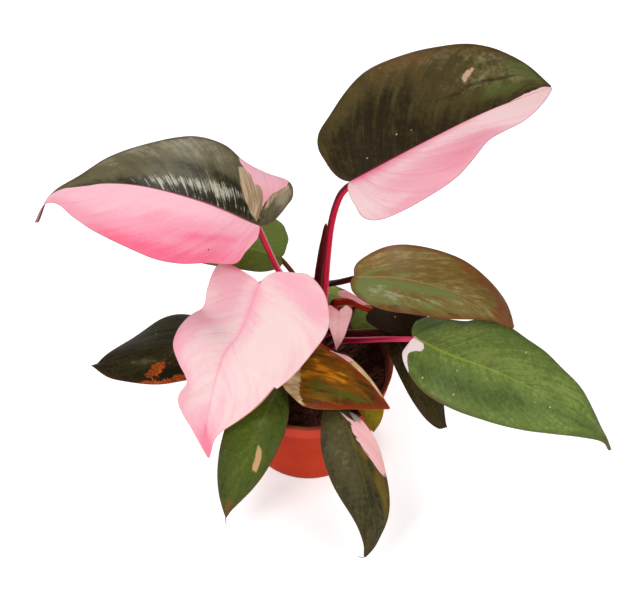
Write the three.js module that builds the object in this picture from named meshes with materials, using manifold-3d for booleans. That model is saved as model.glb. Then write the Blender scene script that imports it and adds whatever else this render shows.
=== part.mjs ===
// A pink princess philodendron in a nursery pot.
// Millimetres, +Z up. The origin is the centre of the pot's flat base, and -Y is the plant's front.

import * as THREE from "three";
import { mergeVertices } from "three/addons/utils/BufferGeometryUtils.js";
import Module from "manifold-3d";

const wasm = await Module();
wasm.setup();

const DEG = Math.PI / 180;
const { clamp, lerp, smoothstep } = THREE.MathUtils;

// ---- driving sizes -------------------------------------------------------

const POT_HEIGHT = 86;
const POT_RIM_RADIUS = 60;
const POT_BASE_RADIUS = 45;
const POT_WALL = 1.5;
const POT_FLOOR = 2;
const POT_LIP = 1.6; // how far the lip stands out past the collar
const COLLAR_HEIGHT = 14;
const COLLAR_STEP = 2; // how far the collar stands out past the wall
const BASE_CHAMFER = 1.5;
const POT_SEGMENTS = 44;
const DRAIN_HOLES = 6;
const DRAIN_HOLE_RADIUS = 4;
const DRAIN_RING_RADIUS = 30;

const SOIL_TOP = 74;
const SOIL_RELIEF = 1.6;
const SOIL_RINGS = 8;
const SOIL_SEGMENTS = 36;

const GAP = 0.3; // clearance between pieces that touch
const BLADE_THICKNESS = 0.8;
const RIB_DEPTH = 0.9; // how far the midrib stands out under the blade at the stalk
const STEM_FOOT = 44; // where the buried ends of the stems stop

// ---- materials -----------------------------------------------------------

const paint = (color, roughness) => new THREE.MeshStandardMaterial({ color, roughness, metalness: 0 });
const TERRACOTTA = paint(0xb8472f, 0.7);
const SOIL = paint(0x2a1d17, 0.95);
const STEM = paint(0x6b1f2a, 0.5);
const STALK = paint(0x8e2438, 0.4);
const SHEATH = paint(0x4a1a22, 0.5);
const GREEN = paint(0x2f4a2a, 0.4);
const DARK = paint(0x2a2a1e, 0.35);
const PINK = paint(0xe58fa6, 0.45);
const ORANGE = paint(0xb5622d, 0.5);

// ---- pot and soil --------------------------------------------------------

function wallRadius(z) {
  const top = POT_RIM_RADIUS - POT_LIP - COLLAR_STEP;
  return lerp(POT_BASE_RADIUS, top, z / (POT_HEIGHT - COLLAR_HEIGHT));
}

function closedSolid(geometry) {
  const bare = geometry.index ? geometry.clone() : geometry;
  bare.deleteAttribute("normal");
  bare.deleteAttribute("uv");
  const merged = mergeVertices(bare, 1e-4);
  const mesh = new wasm.Mesh({
    numProp: 3,
    vertProperties: new Float32Array(merged.attributes.position.array),
    triVerts: new Uint32Array(merged.index.array),
  });
  return new wasm.Manifold(mesh);
}

function geometryOf(solid) {
  const mesh = solid.getMesh();
  const geometry = new THREE.BufferGeometry();
  geometry.setAttribute("position", new THREE.BufferAttribute(new Float32Array(mesh.vertProperties), 3));
  geometry.setIndex(new THREE.BufferAttribute(new Uint32Array(mesh.triVerts), 1));
  return geometry;
}

function upright(radius, bottom, top, x, y, segments = 16) {
  const cylinder = new THREE.CylinderGeometry(radius, radius, top - bottom, segments);
  cylinder.rotateX(Math.PI / 2);
  cylinder.translate(x, y, (top + bottom) / 2);
  return closedSolid(cylinder);
}

function lathe(profile, segments) {
  const points = profile.map(([radius, z]) => new THREE.Vector2(radius, z));
  const geometry = new THREE.LatheGeometry(points, segments);
  geometry.rotateX(Math.PI / 2);
  return geometry;
}

function potGeometry() {
  const collarFoot = POT_HEIGHT - COLLAR_HEIGHT;
  const collarRadius = POT_RIM_RADIUS - POT_LIP;
  const outerWall = wallRadius(collarFoot);
  const profile = [
    [0, 0],
    [POT_BASE_RADIUS - BASE_CHAMFER, 0],
    [POT_BASE_RADIUS, BASE_CHAMFER],
    [wallRadius(collarFoot * 0.5), collarFoot * 0.5],
    [outerWall, collarFoot],
    [collarRadius - 0.4, collarFoot + 1],
    [collarRadius, POT_HEIGHT - 3],
    [POT_RIM_RADIUS - 0.4, POT_HEIGHT - 2.4],
    [POT_RIM_RADIUS, POT_HEIGHT - 1.2],
    [POT_RIM_RADIUS - 0.6, POT_HEIGHT],
    [collarRadius - POT_WALL + 0.4, POT_HEIGHT],
    [collarRadius - POT_WALL, POT_HEIGHT - 0.8],
    [collarRadius - POT_WALL - 0.4, collarFoot + 2.5],
    [outerWall - POT_WALL, collarFoot],
    [wallRadius(POT_FLOOR) - POT_WALL, POT_FLOOR],
    [0, POT_FLOOR],
  ];
  let pot = closedSolid(lathe(profile, POT_SEGMENTS));
  for (let i = 0; i < DRAIN_HOLES; i += 1) {
    const angle = (i / DRAIN_HOLES) * 2 * Math.PI;
    const x = DRAIN_RING_RADIUS * Math.cos(angle);
    const y = DRAIN_RING_RADIUS * Math.sin(angle);
    pot = pot.subtract(upright(DRAIN_HOLE_RADIUS, -1, POT_FLOOR + 1, x, y));
  }
  return geometryOf(pot);
}

// Lumps of the soil's surface: a few crossed waves, lower towards the wall.
function soilHeight(x, y, reach) {
  const lumps =
    Math.sin(x * 0.21 + 1.3) * Math.cos(y * 0.17 + 0.4) +
    0.6 * Math.sin(x * 0.43 + y * 0.31) +
    0.5 * Math.cos(y * 0.52 - x * 0.27 + 2);
  return SOIL_TOP + SOIL_RELIEF * lumps - 2.5 * reach ** 4;
}

function soilGeometry(stems) {
  const sideGap = GAP + 0.1; // flat facets of the wall come a little closer than its radius
  const floor = POT_FLOOR + GAP;
  const profile = [[0, floor], [wallRadius(floor) - POT_WALL - sideGap, floor]];
  const shoulder = wallRadius(SOIL_TOP - 6) - POT_WALL - sideGap;
  profile.push([shoulder, SOIL_TOP - 5]);
  for (let i = SOIL_RINGS; i >= 0; i -= 1) {
    profile.push([shoulder * (i / (SOIL_RINGS + 0.25)), SOIL_TOP]);
  }
  const geometry = lathe(profile, SOIL_SEGMENTS);
  const position = geometry.attributes.position;
  for (let i = 0; i < position.count; i += 1) {
    if (position.getZ(i) > SOIL_TOP - 1) {
      const x = position.getX(i);
      const y = position.getY(i);
      position.setZ(i, soilHeight(x, y, Math.hypot(x, y) / shoulder));
    }
  }
  let soil = closedSolid(geometry);
  for (const stem of stems) {
    const [x, y] = stem.path[0];
    const hole = upright(stem.radius[0] + GAP + 0.2, STEM_FOOT - GAP, SOIL_TOP + 20, x, y, 24);
    soil = soil.subtract(hole);
  }
  return geometryOf(soil);
}

// ---- round stems and stalks ----------------------------------------------

const vector = ([x, y, z]) => new THREE.Vector3(x, y, z);

function curveThrough(points) {
  return new THREE.CatmullRomCurve3(points, false, "catmullrom", 0.5);
}

// A round rod along a curve. radiusAt(t) gives its radius from the foot (0) to the end (1).
function rodGeometry(curve, radiusAt, steps, sides) {
  const frames = curve.computeFrenetFrames(steps, false);
  const positions = [];
  const faces = [];
  for (let i = 0; i <= steps; i += 1) {
    const centre = curve.getPointAt(i / steps);
    const radius = radiusAt(i / steps);
    for (let k = 0; k < sides; k += 1) {
      const angle = (k / sides) * 2 * Math.PI;
      const point = centre.clone();
      point.addScaledVector(frames.normals[i], radius * Math.cos(angle));
      point.addScaledVector(frames.binormals[i], radius * Math.sin(angle));
      positions.push(point.x, point.y, point.z);
    }
  }
  for (let i = 0; i < steps; i += 1) {
    for (let k = 0; k < sides; k += 1) {
      const a = i * sides + k;
      const b = i * sides + ((k + 1) % sides);
      faces.push(a, b, b + sides, a, b + sides, a + sides);
    }
  }
  const last = steps * sides;
  for (let k = 1; k < sides - 1; k += 1) {
    faces.push(0, k + 1, k, last, last + k, last + k + 1);
  }
  const geometry = new THREE.BufferGeometry();
  geometry.setAttribute("position", new THREE.Float32BufferAttribute(positions, 3));
  geometry.setIndex(faces);
  return geometry;
}

const STEMS = {
  tall: {
    path: [[8, 12, STEM_FOOT], [8, 12, 62], [8, 12, 80], [8, 13, 112], [9, 15, 142]],
    radius: [5.5, 4],
    nodes: 4,
  },
  short: {
    path: [[-13, -8, STEM_FOOT], [-13, -8, 62], [-13, -8, 78], [-13, -8, 92], [-12, -7, 106]],
    radius: [5, 4],
    nodes: 3,
  },
};

// The stem swells a little at each node, above the soil.
function stemRadius(stem, t) {
  const swelling = t > 0.45 ? 0.5 * Math.cos(stem.nodes * 2 * Math.PI * t) ** 4 : 0;
  return lerp(stem.radius[0], stem.radius[1], t) + swelling;
}

function stemGeometry(stem) {
  const curve = curveThrough(stem.path.map(vector));
  return rodGeometry(curve, (t) => stemRadius(stem, t), 15, 12);
}

// The stem's axis and radius at a height above the pot's base. The stems stand almost upright.
function stemAt(stem, height) {
  const t = (height - STEM_FOOT) / (stem.path.at(-1)[2] - STEM_FOOT);
  return { axis: curveThrough(stem.path.map(vector)).getPointAt(t), radius: stemRadius(stem, t) };
}

// ---- leaf blades ---------------------------------------------------------

// One half of a heart-shaped blade, from the notch round the back lobe and along the side to the tip.
// The first number runs along the midrib (0 at the stalk, 1 at the tip), the second across it.
const HEART = [
  [-0.09, 0.28], [-0.09, 0.56], [0.0, 0.82], [0.14, 0.96], [0.3, 1], [0.46, 0.93],
  [0.61, 0.77], [0.75, 0.54], [0.87, 0.29], [0.95, 0.1], [1, 0.015],
];
const ROUNDED = [
  [0, 0.08], [-0.015, 0.28], [0.01, 0.52], [0.09, 0.78], [0.2, 0.94], [0.33, 1],
  [0.48, 0.94], [0.63, 0.78], [0.77, 0.54], [0.89, 0.26], [1, 0.015],
];
const OVATE = [
  [0, 0.05], [0.02, 0.2], [0.06, 0.42], [0.14, 0.68], [0.26, 0.92], [0.38, 1],
  [0.52, 0.95], [0.67, 0.78], [0.81, 0.5], [0.92, 0.2], [1, 0.015],
];
const LANCE = [
  [0, 0.7], [0.12, 0.95], [0.24, 1], [0.36, 0.98], [0.48, 0.9],
  [0.6, 0.8], [0.72, 0.68], [0.84, 0.56], [0.95, 0.48], [1, 0.1],
];
const VEIN_LEAN = 1.7; // how far the side veins lean towards the tip
const LEFT = 0;
const RIGHT = 1;

// The blade's middle surface. u runs from the notch to the tip, v from the left margin (-1) over the
// midrib (0) to the right margin (1), both along the veins.
function bladeSurface(leaf) {
  const spine = curveThrough(leaf.spine.map(vector));
  const length = spine.getLength();
  const outlines = leaf.halves.map((half) => {
    const points = half.outline ?? leaf.outline ?? HEART;
    return curveThrough(points.map(([x, y]) => new THREE.Vector3(x, y, 0)));
  });
  const heading = leaf.heading * DEG;
  const level = new THREE.Vector3(Math.sin(heading), -Math.cos(heading), 0);

  function frameAt(x) {
    const t = clamp(x, 0, 1);
    const along = spine.getTangentAt(t);
    const across = level.clone().addScaledVector(along, -level.dot(along)).normalize();
    const up = across.clone().cross(along);
    const roll = lerp(leaf.roll[0], leaf.roll[1], t) * DEG;
    across.applyAxisAngle(along, -roll);
    up.applyAxisAngle(along, -roll);
    const point = spine.getPointAt(t).addScaledVector(along, (x - t) * length);
    return { point, along, across, up };
  }

  function at(u, v) {
    const side = v < 0 ? LEFT : RIGHT;
    const sign = v < 0 ? -1 : 1;
    const s = Math.abs(v);
    const foot = u ** VEIN_LEAN;
    const { width, fold, droop, lobe = 1, neck = 1, belly = 1, taper = 1 } = leaf.halves[side];
    const margin = outlines[side].getPoint(u);
    margin.x = margin.x < 0 ? margin.x * lobe : margin.x ** belly;
    const slim = smoothstep(u, 0.35, 0.65) - smoothstep(u, 0.92, 1);
    margin.y **= lerp(neck, 1, smoothstep(u, 0.05, 0.35)) * lerp(1, taper, slim);
    const notch = 1 - smoothstep(u, 0, 0.15);
    const bendX = lerp(foot, margin.x, lerp(0.3, 0.9, notch));
    const bendY = margin.y * lerp(0.6, 0.25, notch);
    const x = foot * (1 - s) ** 2 + bendX * 2 * s * (1 - s) + margin.x * s ** 2;
    const y = bendY * 2 * s * (1 - s) + margin.y * s ** 2;
    const frame = frameAt(x);
    const slant = lerp(fold[0], fold[1], clamp(x, 0, 1)) * DEG;
    const [waveHeight, waves, phase] = leaf.wave;
    const wave = waveHeight * s ** 2 * Math.sin(2 * Math.PI * (waves * u + phase + 0.5 * side));
    const rise = y * Math.sin(slant) - droop * y ** 2;
    const point = frame.point;
    point.addScaledVector(frame.across, sign * y * width * Math.cos(slant));
    point.addScaledVector(frame.up, rise * width + wave);
    const slope = s === 0 ? 0 : Math.atan(Math.tan(slant) - 2 * droop * y);
    const normal = frame.up.clone().multiplyScalar(Math.cos(slope));
    normal.addScaledVector(frame.across, -sign * Math.sin(slope));
    return { point, normal };
  }

  return { frameAt, at, length };
}

const FINE = { across: [0, 0.05, 0.35, 0.7, 1], rows: 12, ribDepth: RIB_DEPTH, stalkSteps: 10 };
const COARSE = { across: [0, 0.08, 0.5, 1], rows: 9, ribDepth: RIB_DEPTH / 2, stalkSteps: 8 };
const NARROW = { across: [0, 0.5, 1], rows: 16, ribDepth: RIB_DEPTH / 2, stalkSteps: 8 };
const GRIDS = { coarse: COARSE, narrow: NARROW };
const gridOf = (leaf) => GRIDS[leaf.grid] ?? FINE;

function bladeGeometry(leaf) {
  const surface = bladeSurface(leaf);
  const { across: half, rows, ribDepth } = gridOf(leaf);
  const across = [...half.slice(1).reverse().map((v) => -v), ...half];
  const columns = across.length;
  const top = [];
  const bottom = [];
  for (let i = 0; i <= rows; i += 1) {
    const u = i / rows;
    for (const v of across) {
      const { point, normal } = surface.at(u, v);
      const rib = v === 0 ? ribDepth * (1 - 0.7 * u) : 0;
      top.push(point.clone().addScaledVector(normal, BLADE_THICKNESS / 2));
      bottom.push(point.clone().addScaledVector(normal, -BLADE_THICKNESS / 2 - rib));
    }
  }
  const count = top.length;
  const faces = [];
  const quad = (a, b, c, d) => faces.push(a, b, c, a, c, d);
  for (let i = 0; i < rows; i += 1) {
    for (let j = 0; j < columns - 1; j += 1) {
      const near = i * columns + j;
      const far = near + columns;
      // The two halves are split along mirrored diagonals, and the lower face along the same ones.
      const [p, q, r, s] = across[j] < 0 ? [near + 1, far + 1, far, near] : [near, near + 1, far + 1, far];
      quad(p, q, r, s);
      faces.push(p + count, r + count, q + count, p + count, s + count, r + count);
    }
  }
  const wall = (a, b) => quad(a, a + count, b + count, b);
  for (let j = 0; j < columns - 1; j += 1) {
    wall(j, j + 1);
    wall(rows * columns + j + 1, rows * columns + j);
  }
  for (let i = 0; i < rows; i += 1) {
    wall((i + 1) * columns, i * columns);
    wall(i * columns + columns - 1, (i + 1) * columns + columns - 1);
  }
  const geometry = new THREE.BufferGeometry();
  const positions = [...top, ...bottom].flatMap((point) => [point.x, point.y, point.z]);
  geometry.setAttribute("position", new THREE.Float32BufferAttribute(positions, 3));
  geometry.setIndex(faces);
  return geometry;
}

// ---- leaf stalks ---------------------------------------------------------

// The stalk's end is cut square, and the part of its high edge in the open notch may stand higher.
const NOTCH_SHARE = 0.7;

// Where the stalk ends: just under the blade at the notch, clear of the midrib and of folded halves.
function stalkEnd(leaf) {
  const { point, up } = bladeSurface(leaf).frameAt(0);
  const radius = leaf.stalk.radius[1];
  const approach = point.clone().sub(vector(leaf.stalk.through.at(-1))).normalize();
  const tilt = Math.sqrt(Math.max(0, 1 - approach.dot(up) ** 2));
  const roof = Math.max(0, -leaf.halves[LEFT].fold[0], -leaf.halves[RIGHT].fold[0]) * DEG;
  const underside = BLADE_THICKNESS / 2 + gridOf(leaf).ribDepth;
  const clearance = GAP + radius * (NOTCH_SHARE * tilt + Math.tan(roof));
  return point.addScaledVector(up, -underside - clearance);
}

function stalkCurve(leaf) {
  const { stem, height, azimuth, rise, radius, through } = leaf.stalk;
  const out = new THREE.Vector3(Math.cos(azimuth * DEG), Math.sin(azimuth * DEG), 0);
  const direction = out.clone().multiplyScalar(Math.cos(rise * DEG));
  direction.z = Math.sin(rise * DEG);
  const { axis: start, radius: stemSurface } = stemAt(STEMS[stem], height);
  start.addScaledVector(out, stemSurface + GAP + radius[0] * Math.sin(rise * DEG));
  const second = start.clone().addScaledVector(direction, 5);
  return curveThrough([start, second, ...through.map(vector), stalkEnd(leaf)]);
}

function stalkGeometry(leaf) {
  const { radius } = leaf.stalk;
  const radiusAt = (t) => lerp(radius[0], radius[1], Math.min(1, t * 1.6));
  return rodGeometry(stalkCurve(leaf), radiusAt, gridOf(leaf).stalkSteps, 8);
}

// ---- the leaves ----------------------------------------------------------

// spine: points of the midrib from the stalk to the tip. heading: the way it points, in degrees from +X.
// roll: degrees the right side is raised, at the stalk and at the tip. wave: the margin's waves, as their
// height, how many there are, and their phase. halves: the left and the right half, as seen from the stalk
// with the upper face up. In each:
//   width: full width. fold: degrees the half rises, at the stalk and at the tip. droop: how its margin
//   curls down. outline: its own outline, where it isn't the leaf's. lobe: reach of the back lobe. neck:
//   over 1 narrows it near the stalk. belly: over 1 moves its widest place towards the stalk. taper: over 1
//   narrows it near the tip. These four are 1 where they aren't given.
// stalk: where it leaves its stem, how steeply, its radius at both ends, and points that it passes through.
const LEAVES = {
  top_right: {
    material: PINK,
    spine: [[27, 25, 240], [72, 46, 252], [117, 75, 253], [162, 107, 243]],
    heading: 31, roll: [0, 0], wave: [1.2, 3, 0.1],
    halves: [
      {
        width: 62, fold: [25, 20], droop: 0.05,
        outline: [
          [-0.045, 0.25], [-0.045, 0.45], [-0.01, 0.62], [0.065, 0.745], [0.16, 0.87], [0.27, 0.97],
          [0.39, 1], [0.52, 0.965], [0.64, 0.87], [0.77, 0.76], [0.88, 0.61], [0.96, 0.37], [1, 0.015],
        ],
      },
      {
        width: 57, fold: [24, 12], droop: 0.05,
        outline: [
          [-0.04, 0.45], [-0.045, 0.78], [0, 0.99], [0.09, 1.01], [0.2, 0.95], [0.31, 0.86],
          [0.42, 0.68], [0.51, 0.53], [0.61, 0.46], [0.71, 0.415], [0.81, 0.32], [0.91, 0.18], [1, 0.015],
        ],
      },
    ],
    stalk: {
      stem: "tall", height: 118, azimuth: -70, rise: 72, radius: [3, 2.4],
      through: [[11, 6, 142], [13, 17, 174], [16, 24, 203], [21, 26, 225]],
    },
  },
  top_left: {
    material: DARK,
    spine: [
      [-31, 23, 200], [-66, 31, 214], [-109, 42, 218],
      [-144, 54, 206], [-172, 60, 190], [-185, 56, 166],
    ],
    heading: 166, roll: [12, 5], wave: [1.2, 3, 0.3],
    halves: [
      {
        width: 46, fold: [-10, -8], droop: 0.08,
        outline: [
          [-0.01, 0.2], [0.01, 0.42], [0.03, 0.64], [0.12, 0.8], [0.21, 0.94], [0.31, 0.98],
          [0.42, 0.92], [0.53, 0.82], [0.63, 0.68], [0.72, 0.48], [0.81, 0.22], [0.9, 0.07], [1, 0.015],
        ],
      },
      {
        width: 54, fold: [-8, -8], droop: 0.08,
        outline: [
          [-0.055, 0.33], [-0.08, 0.6], [-0.05, 0.81], [0.04, 0.81], [0.13, 0.85], [0.22, 0.98],
          [0.33, 0.99], [0.44, 0.87], [0.55, 0.715], [0.645, 0.5], [0.74, 0.15], [0.86, 0.03], [1, 0.015],
        ],
      },
    ],
    stalk: {
      stem: "tall", height: 116, azimuth: 180, rise: 60, radius: [2.8, 2.2],
      through: [[-8, 11, 142], [-19, 12, 168], [-26, 17, 185]],
    },
  },
  back_left: {
    material: GREEN, outline: ROUNDED,
    spine: [[-18, 39, 150], [-49, 42, 158], [-99, 58, 142]],
    heading: 170, roll: [0, 0], wave: [1, 2, 0.2],
    halves: [
      { width: 17, fold: [-12, -8], droop: 0.1, belly: 0.9 },
      {
        width: 44, fold: [-12, -8], droop: 0.1,
        outline: [
          [-0.03, 0.25], [-0.045, 0.5], [-0.02, 0.7], [0.02, 0.9], [0.1, 1], [0.22, 1],
          [0.34, 0.95], [0.47, 0.85], [0.6, 0.7], [0.72, 0.52], [0.83, 0.32], [0.93, 0.13], [1, 0.015],
        ],
      },
    ],
    stalk: {
      stem: "tall", height: 102, azimuth: 125, rise: 50, radius: [2.2, 1.7],
      through: [[-1, 26, 124], [-10, 34, 138]],
    },
  },
  centre_heart: {
    material: PINK,
    spine: [[-31, -11, 182], [-43, -31, 158], [-56, -43, 142], [-67, -56, 95], [-68, -68, 64]],
    heading: 234, roll: [0, 0], wave: [1.5, 3, 0],
    halves: [
      {
        width: 52, fold: [-8, -5], droop: 0.08,
        outline: [
          [-0.1, 0.3], [-0.13, 0.55], [-0.085, 0.79], [0.01, 0.95], [0.1, 1], [0.2, 0.93],
          [0.31, 0.81], [0.41, 0.745], [0.53, 0.66], [0.66, 0.49], [0.79, 0.27], [0.895, 0.09], [1, 0.015],
        ],
      },
      {
        width: 42, fold: [-8, -5], droop: 0.08,
        outline: [
          [-0.015, 0.35], [-0.01, 0.66], [0.02, 0.89], [0.13, 0.9], [0.22, 0.855], [0.325, 0.9],
          [0.43, 1], [0.53, 1], [0.605, 0.81], [0.675, 0.58], [0.785, 0.69], [0.875, 0.3], [1, 0.015],
        ],
      },
    ],
    stalk: {
      stem: "short", height: 98, azimuth: 150, rise: 65, radius: [2.6, 2],
      through: [[-20, 0, 128], [-25, -1, 154], [-28, -5, 170]],
    },
  },
  left: {
    material: GREEN,
    spine: [[-50, 2, 96], [-88, 1, 101], [-124, 0, 91], [-153, 2, 75]],
    heading: 183, roll: [-5, -5], wave: [1.2, 3, 0.4],
    halves: [
      { width: 29, fold: [-6, -8], droop: 0.08, belly: 0.75, taper: 0.9 },
      { width: 37, fold: [-8, -8], droop: 0.1, belly: 0.8, taper: 1.6 },
    ],
    stalk: {
      stem: "short", height: 90, azimuth: 180, rise: 30, radius: [2.2, 1.7],
      through: [[-32, -3, 91], [-43, 0, 93]],
    },
  },
  front_left: {
    material: GREEN, outline: OVATE,
    spine: [[-18, -27, 98], [-27, -53, 99], [-40, -74, 76], [-57, -93, 26]],
    heading: 239, roll: [5, 5], wave: [1, 2, 0.1],
    halves: [
      { width: 17, fold: [-8, -8], droop: 0.05, taper: 1.2 },
      { width: 24, fold: [-8, -8], droop: 0.05, belly: 0.95, taper: 0.8 },
    ],
    stalk: {
      stem: "short", height: 86, azimuth: 255, rise: 30, radius: [2, 1.6],
      through: [[-15, -20, 91]],
    },
  },
  centre_orange: {
    material: ORANGE,
    spine: [[8, -13, 118], [24, -27, 121], [41, -41, 115], [55, -55, 104]],
    heading: -45, roll: [-10, -10], wave: [1, 2, 0.2],
    halves: [
      { width: 8.5, fold: [50, 40], droop: 0.05, outline: [
        [0, 0.2], [0.05, 0.22], [0.12, 0.22], [0.18, 0.22], [0.24, 0.26], [0.3, 0.38], [0.36, 0.48],
        [0.44, 0.48], [0.53, 0.46], [0.63, 0.39], [0.75, 0.28], [0.88, 0.13], [1, 0.015]] },
      { width: 40, fold: [-8, -5], droop: 0.1, outline: [
        [-0.1, 0.2], [-0.14, 0.4], [-0.13, 0.62], [-0.115, 0.8], [-0.06, 0.91], [0.04, 0.955],
        [0.14, 0.985], [0.26, 1], [0.39, 0.955], [0.53, 0.83], [0.68, 0.65], [0.84, 0.38], [1, 0.015]] },
    ],
    stalk: {
      stem: "short", height: 98, azimuth: 0, rise: 40, radius: [2, 1.6],
      through: [[0, -11, 108]],
    },
  },
  front_small: {
    material: GREEN, outline: OVATE, grid: "coarse",
    spine: [[26, -7, 96], [34, -30, 96], [42, -46, 89], [45, -55, 76]],
    heading: -68, roll: [0, 0], wave: [0.5, 2, 0],
    halves: [
      { width: 14, fold: [5, 5], droop: 0.1, outline: [
        [0, 0.08], [0.05, 0.18], [0.12, 0.28], [0.22, 0.4], [0.35, 0.58],
        [0.5, 0.8], [0.63, 0.87], [0.77, 0.71], [0.91, 0.42], [1, 0.015]] },
      { width: 10, fold: [5, 5], droop: 0.1, outline: [
        [0, 0.1], [0.05, 0.3], [0.14, 0.6], [0.27, 0.85], [0.4, 0.95],
        [0.53, 0.95], [0.66, 0.78], [0.79, 0.57], [0.91, 0.35], [1, 0.015]] },
    ],
    stalk: {
      stem: "short", height: 88, azimuth: 5, rise: 20, radius: [1.6, 1.2],
      through: [[6, -8, 91], [17, -9, 93]],
    },
  },
  front_right: {
    material: DARK, outline: OVATE,
    spine: [[17, -42, 98], [26, -66, 100], [36, -86, 76], [42, -104, 48], [39, -120, 20]],
    heading: -74, roll: [0, 0], wave: [1, 3, 0.2],
    halves: [
      { width: 17, fold: [-8, -8], droop: 0.1, belly: 0.8, taper: 0.5 },
      { width: 22, fold: [-8, -8], droop: 0.1, taper: 1.4 },
    ],
    stalk: {
      stem: "short", height: 84, azimuth: -50, rise: 20, radius: [2, 1.6],
      through: [[2, -27, 89], [10, -36, 92]],
    },
  },
  right: {
    material: GREEN, outline: ROUNDED,
    spine: [
      [71, -15, 130], [93, -34, 137], [127, -48, 134],
      [164, -61, 120], [195, -72, 98], [203, -75, 84],
    ],
    heading: -25, roll: [-15, -12], wave: [1.5, 3, 0.1],
    halves: [
      {
        width: 39, fold: [-10, -8], droop: 0.1,
        outline: [
          [-0.04, 0.3], [0, 0.5], [0.07, 0.64], [0.15, 0.77], [0.25, 0.91], [0.35, 0.97],
          [0.45, 0.9], [0.55, 0.82], [0.64, 0.64], [0.74, 0.5], [0.84, 0.28], [0.92, 0.1], [1, 0.015],
        ],
      },
      { width: 33, fold: [-10, -10], droop: 0.1, belly: 0.95, taper: 1.4 },
    ],
    stalk: {
      stem: "tall", height: 84, azimuth: -35, rise: 50, radius: [2.6, 2],
      through: [[23, 2, 103.5], [36, -4, 112.5], [52, -10, 121.5], [62, -13, 125.5]],
    },
  },
  mid_right: {
    material: DARK, outline: ROUNDED,
    spine: [[31, 9, 165], [61, 0, 174], [91, -8, 172], [120, -12, 158], [137, -15, 140]],
    heading: -13, roll: [-16, -12], wave: [1.2, 3, 0.3],
    halves: [
      { width: 30, fold: [-8, -8], droop: 0.1, belly: 0.9, taper: 0.6 },
      { width: 23, fold: [-10, -8], droop: 0.1, outline: [
        [-0.02, 0.2], [0, 0.42], [0.045, 0.64], [0.115, 0.81], [0.205, 0.92], [0.31, 0.965], [0.41, 0.93],
        [0.5, 0.85], [0.585, 0.75], [0.68, 0.61], [0.775, 0.44], [0.88, 0.22], [1, 0.015]] },
    ],
    stalk: {
      stem: "tall", height: 124, azimuth: 85, rise: 55, radius: [2.4, 2.1],
      through: [[11, 23, 138], [15, 18.5, 146], [22, 13, 154.5]],
    },
  },
  under_right: {
    material: DARK,
    spine: [[58, 4, 112], [70, -20, 106], [83, -38, 92], [95, -50, 74]],
    heading: -56, roll: [0, 0], wave: [0.8, 2, 0.2],
    halves: [
      { width: 18, fold: [-8, -8], droop: 0.1, belly: 0.9 },
      { width: 11, fold: [-8, -8], droop: 0.1, belly: 0.5, taper: 0.4 },
    ],
    stalk: {
      stem: "tall", height: 94, azimuth: 15, rise: 20, radius: [3, 2.4],
      through: [[30, 10, 102], [44, 8, 106]],
    },
  },
  dark_right: {
    material: DARK,
    spine: [[46, 14, 124], [65, 9, 124], [89, 8, 114]],
    heading: -8, roll: [0, 0], wave: [0.8, 2, 0.2],
    halves: [
      { width: 18, fold: [-6, -6], droop: 0.1 },
      { width: 15, fold: [-6, -6], droop: 0.1 },
    ],
    stalk: {
      stem: "tall", height: 120, azimuth: 10, rise: 45, radius: [4, 1.8],
      through: [[19, 15.5, 129.5], [28, 16, 129.5], [37, 15.5, 124]],
    },
  },
  tiny_heart: {
    material: PINK, grid: "coarse",
    spine: [[21, 0.5, 138], [20, -6.5, 127], [19.5, -10, 109]],
    heading: -95, roll: [0, 0], wave: [0.4, 2, 0],
    halves: [
      { width: 9.5, fold: [12, 5], droop: 0.3, outline: [
        [-0.06, 0.22], [-0.17, 0.44], [-0.14, 0.72], [-0.04, 0.97], [0.13, 0.9],
        [0.336, 0.73], [0.536, 0.58], [0.73, 0.38], [0.88, 0.17], [1, 0.015]] },
      { width: 9.5, fold: [12, 5], droop: 0.3, outline: [
        [-0.05, 0.25], [-0.12, 0.55], [-0.1, 0.85], [0, 1], [0.14, 0.87],
        [0.32, 0.65], [0.5, 0.43], [0.7, 0.22], [0.87, 0.08], [1, 0.015]] },
    ],
    stalk: {
      stem: "tall", height: 100, azimuth: -40, rise: 50, radius: [1.4, 1],
      through: [[19, 3, 114], [21, 3.5, 127]],
    },
  },
  back: {
    material: GREEN, grid: "coarse",
    spine: [[0, 36, 125], [19, 30, 120], [44, 27, 112]],
    heading: -10, roll: [0, 0], wave: [0.6, 2, 0.1],
    halves: [
      { width: 9, fold: [-6, -6], droop: 0.1 },
      { width: 9, fold: [-6, -6], droop: 0.1 },
    ],
    stalk: {
      stem: "tall", height: 94, azimuth: 90, rise: 45, radius: [1.6, 1.2],
      through: [[5, 30, 106], [0, 36, 116]],
    },
  },
  low_right: {
    material: GREEN, outline: OVATE, grid: "coarse",
    spine: [[31, 22, 92], [44, 30, 96], [62, 46, 92]],
    heading: 38, roll: [0, 0], wave: [0.5, 2, 0],
    halves: [
      { width: 14, fold: [-6, -6], droop: 0.1 },
      { width: 14, fold: [-6, -6], droop: 0.1 },
    ],
    stalk: {
      stem: "tall", height: 84, azimuth: 40, rise: 10, radius: [1.6, 1.2],
      through: [[22, 19, 87]],
    },
  },
};

// The dry sheath that wrapped the youngest leaf: a narrow, steeply folded blade standing on the stem's top.
const CATAPHYLL = {
  material: SHEATH, grid: "narrow", outline: LANCE,
  spine: [[7.7, 15.4, 142.8], [7, 16.8, 152], [8.7, 19.5, 172], [10, 22.2, 183], [12.4, 26, 199]],
  heading: 90, roll: [0, 0], wave: [0, 1, 0],
  halves: [
    { width: 2.9, fold: [30, 30], droop: 0 },
    { width: 2.9, fold: [30, 30], droop: 0 },
  ],
};

// ---- assembly ------------------------------------------------------------

const plant = new THREE.Group();

function addMesh(name, geometry, material) {
  const mesh = new THREE.Mesh(geometry, material);
  mesh.name = name;
  plant.add(mesh);
}

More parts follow.
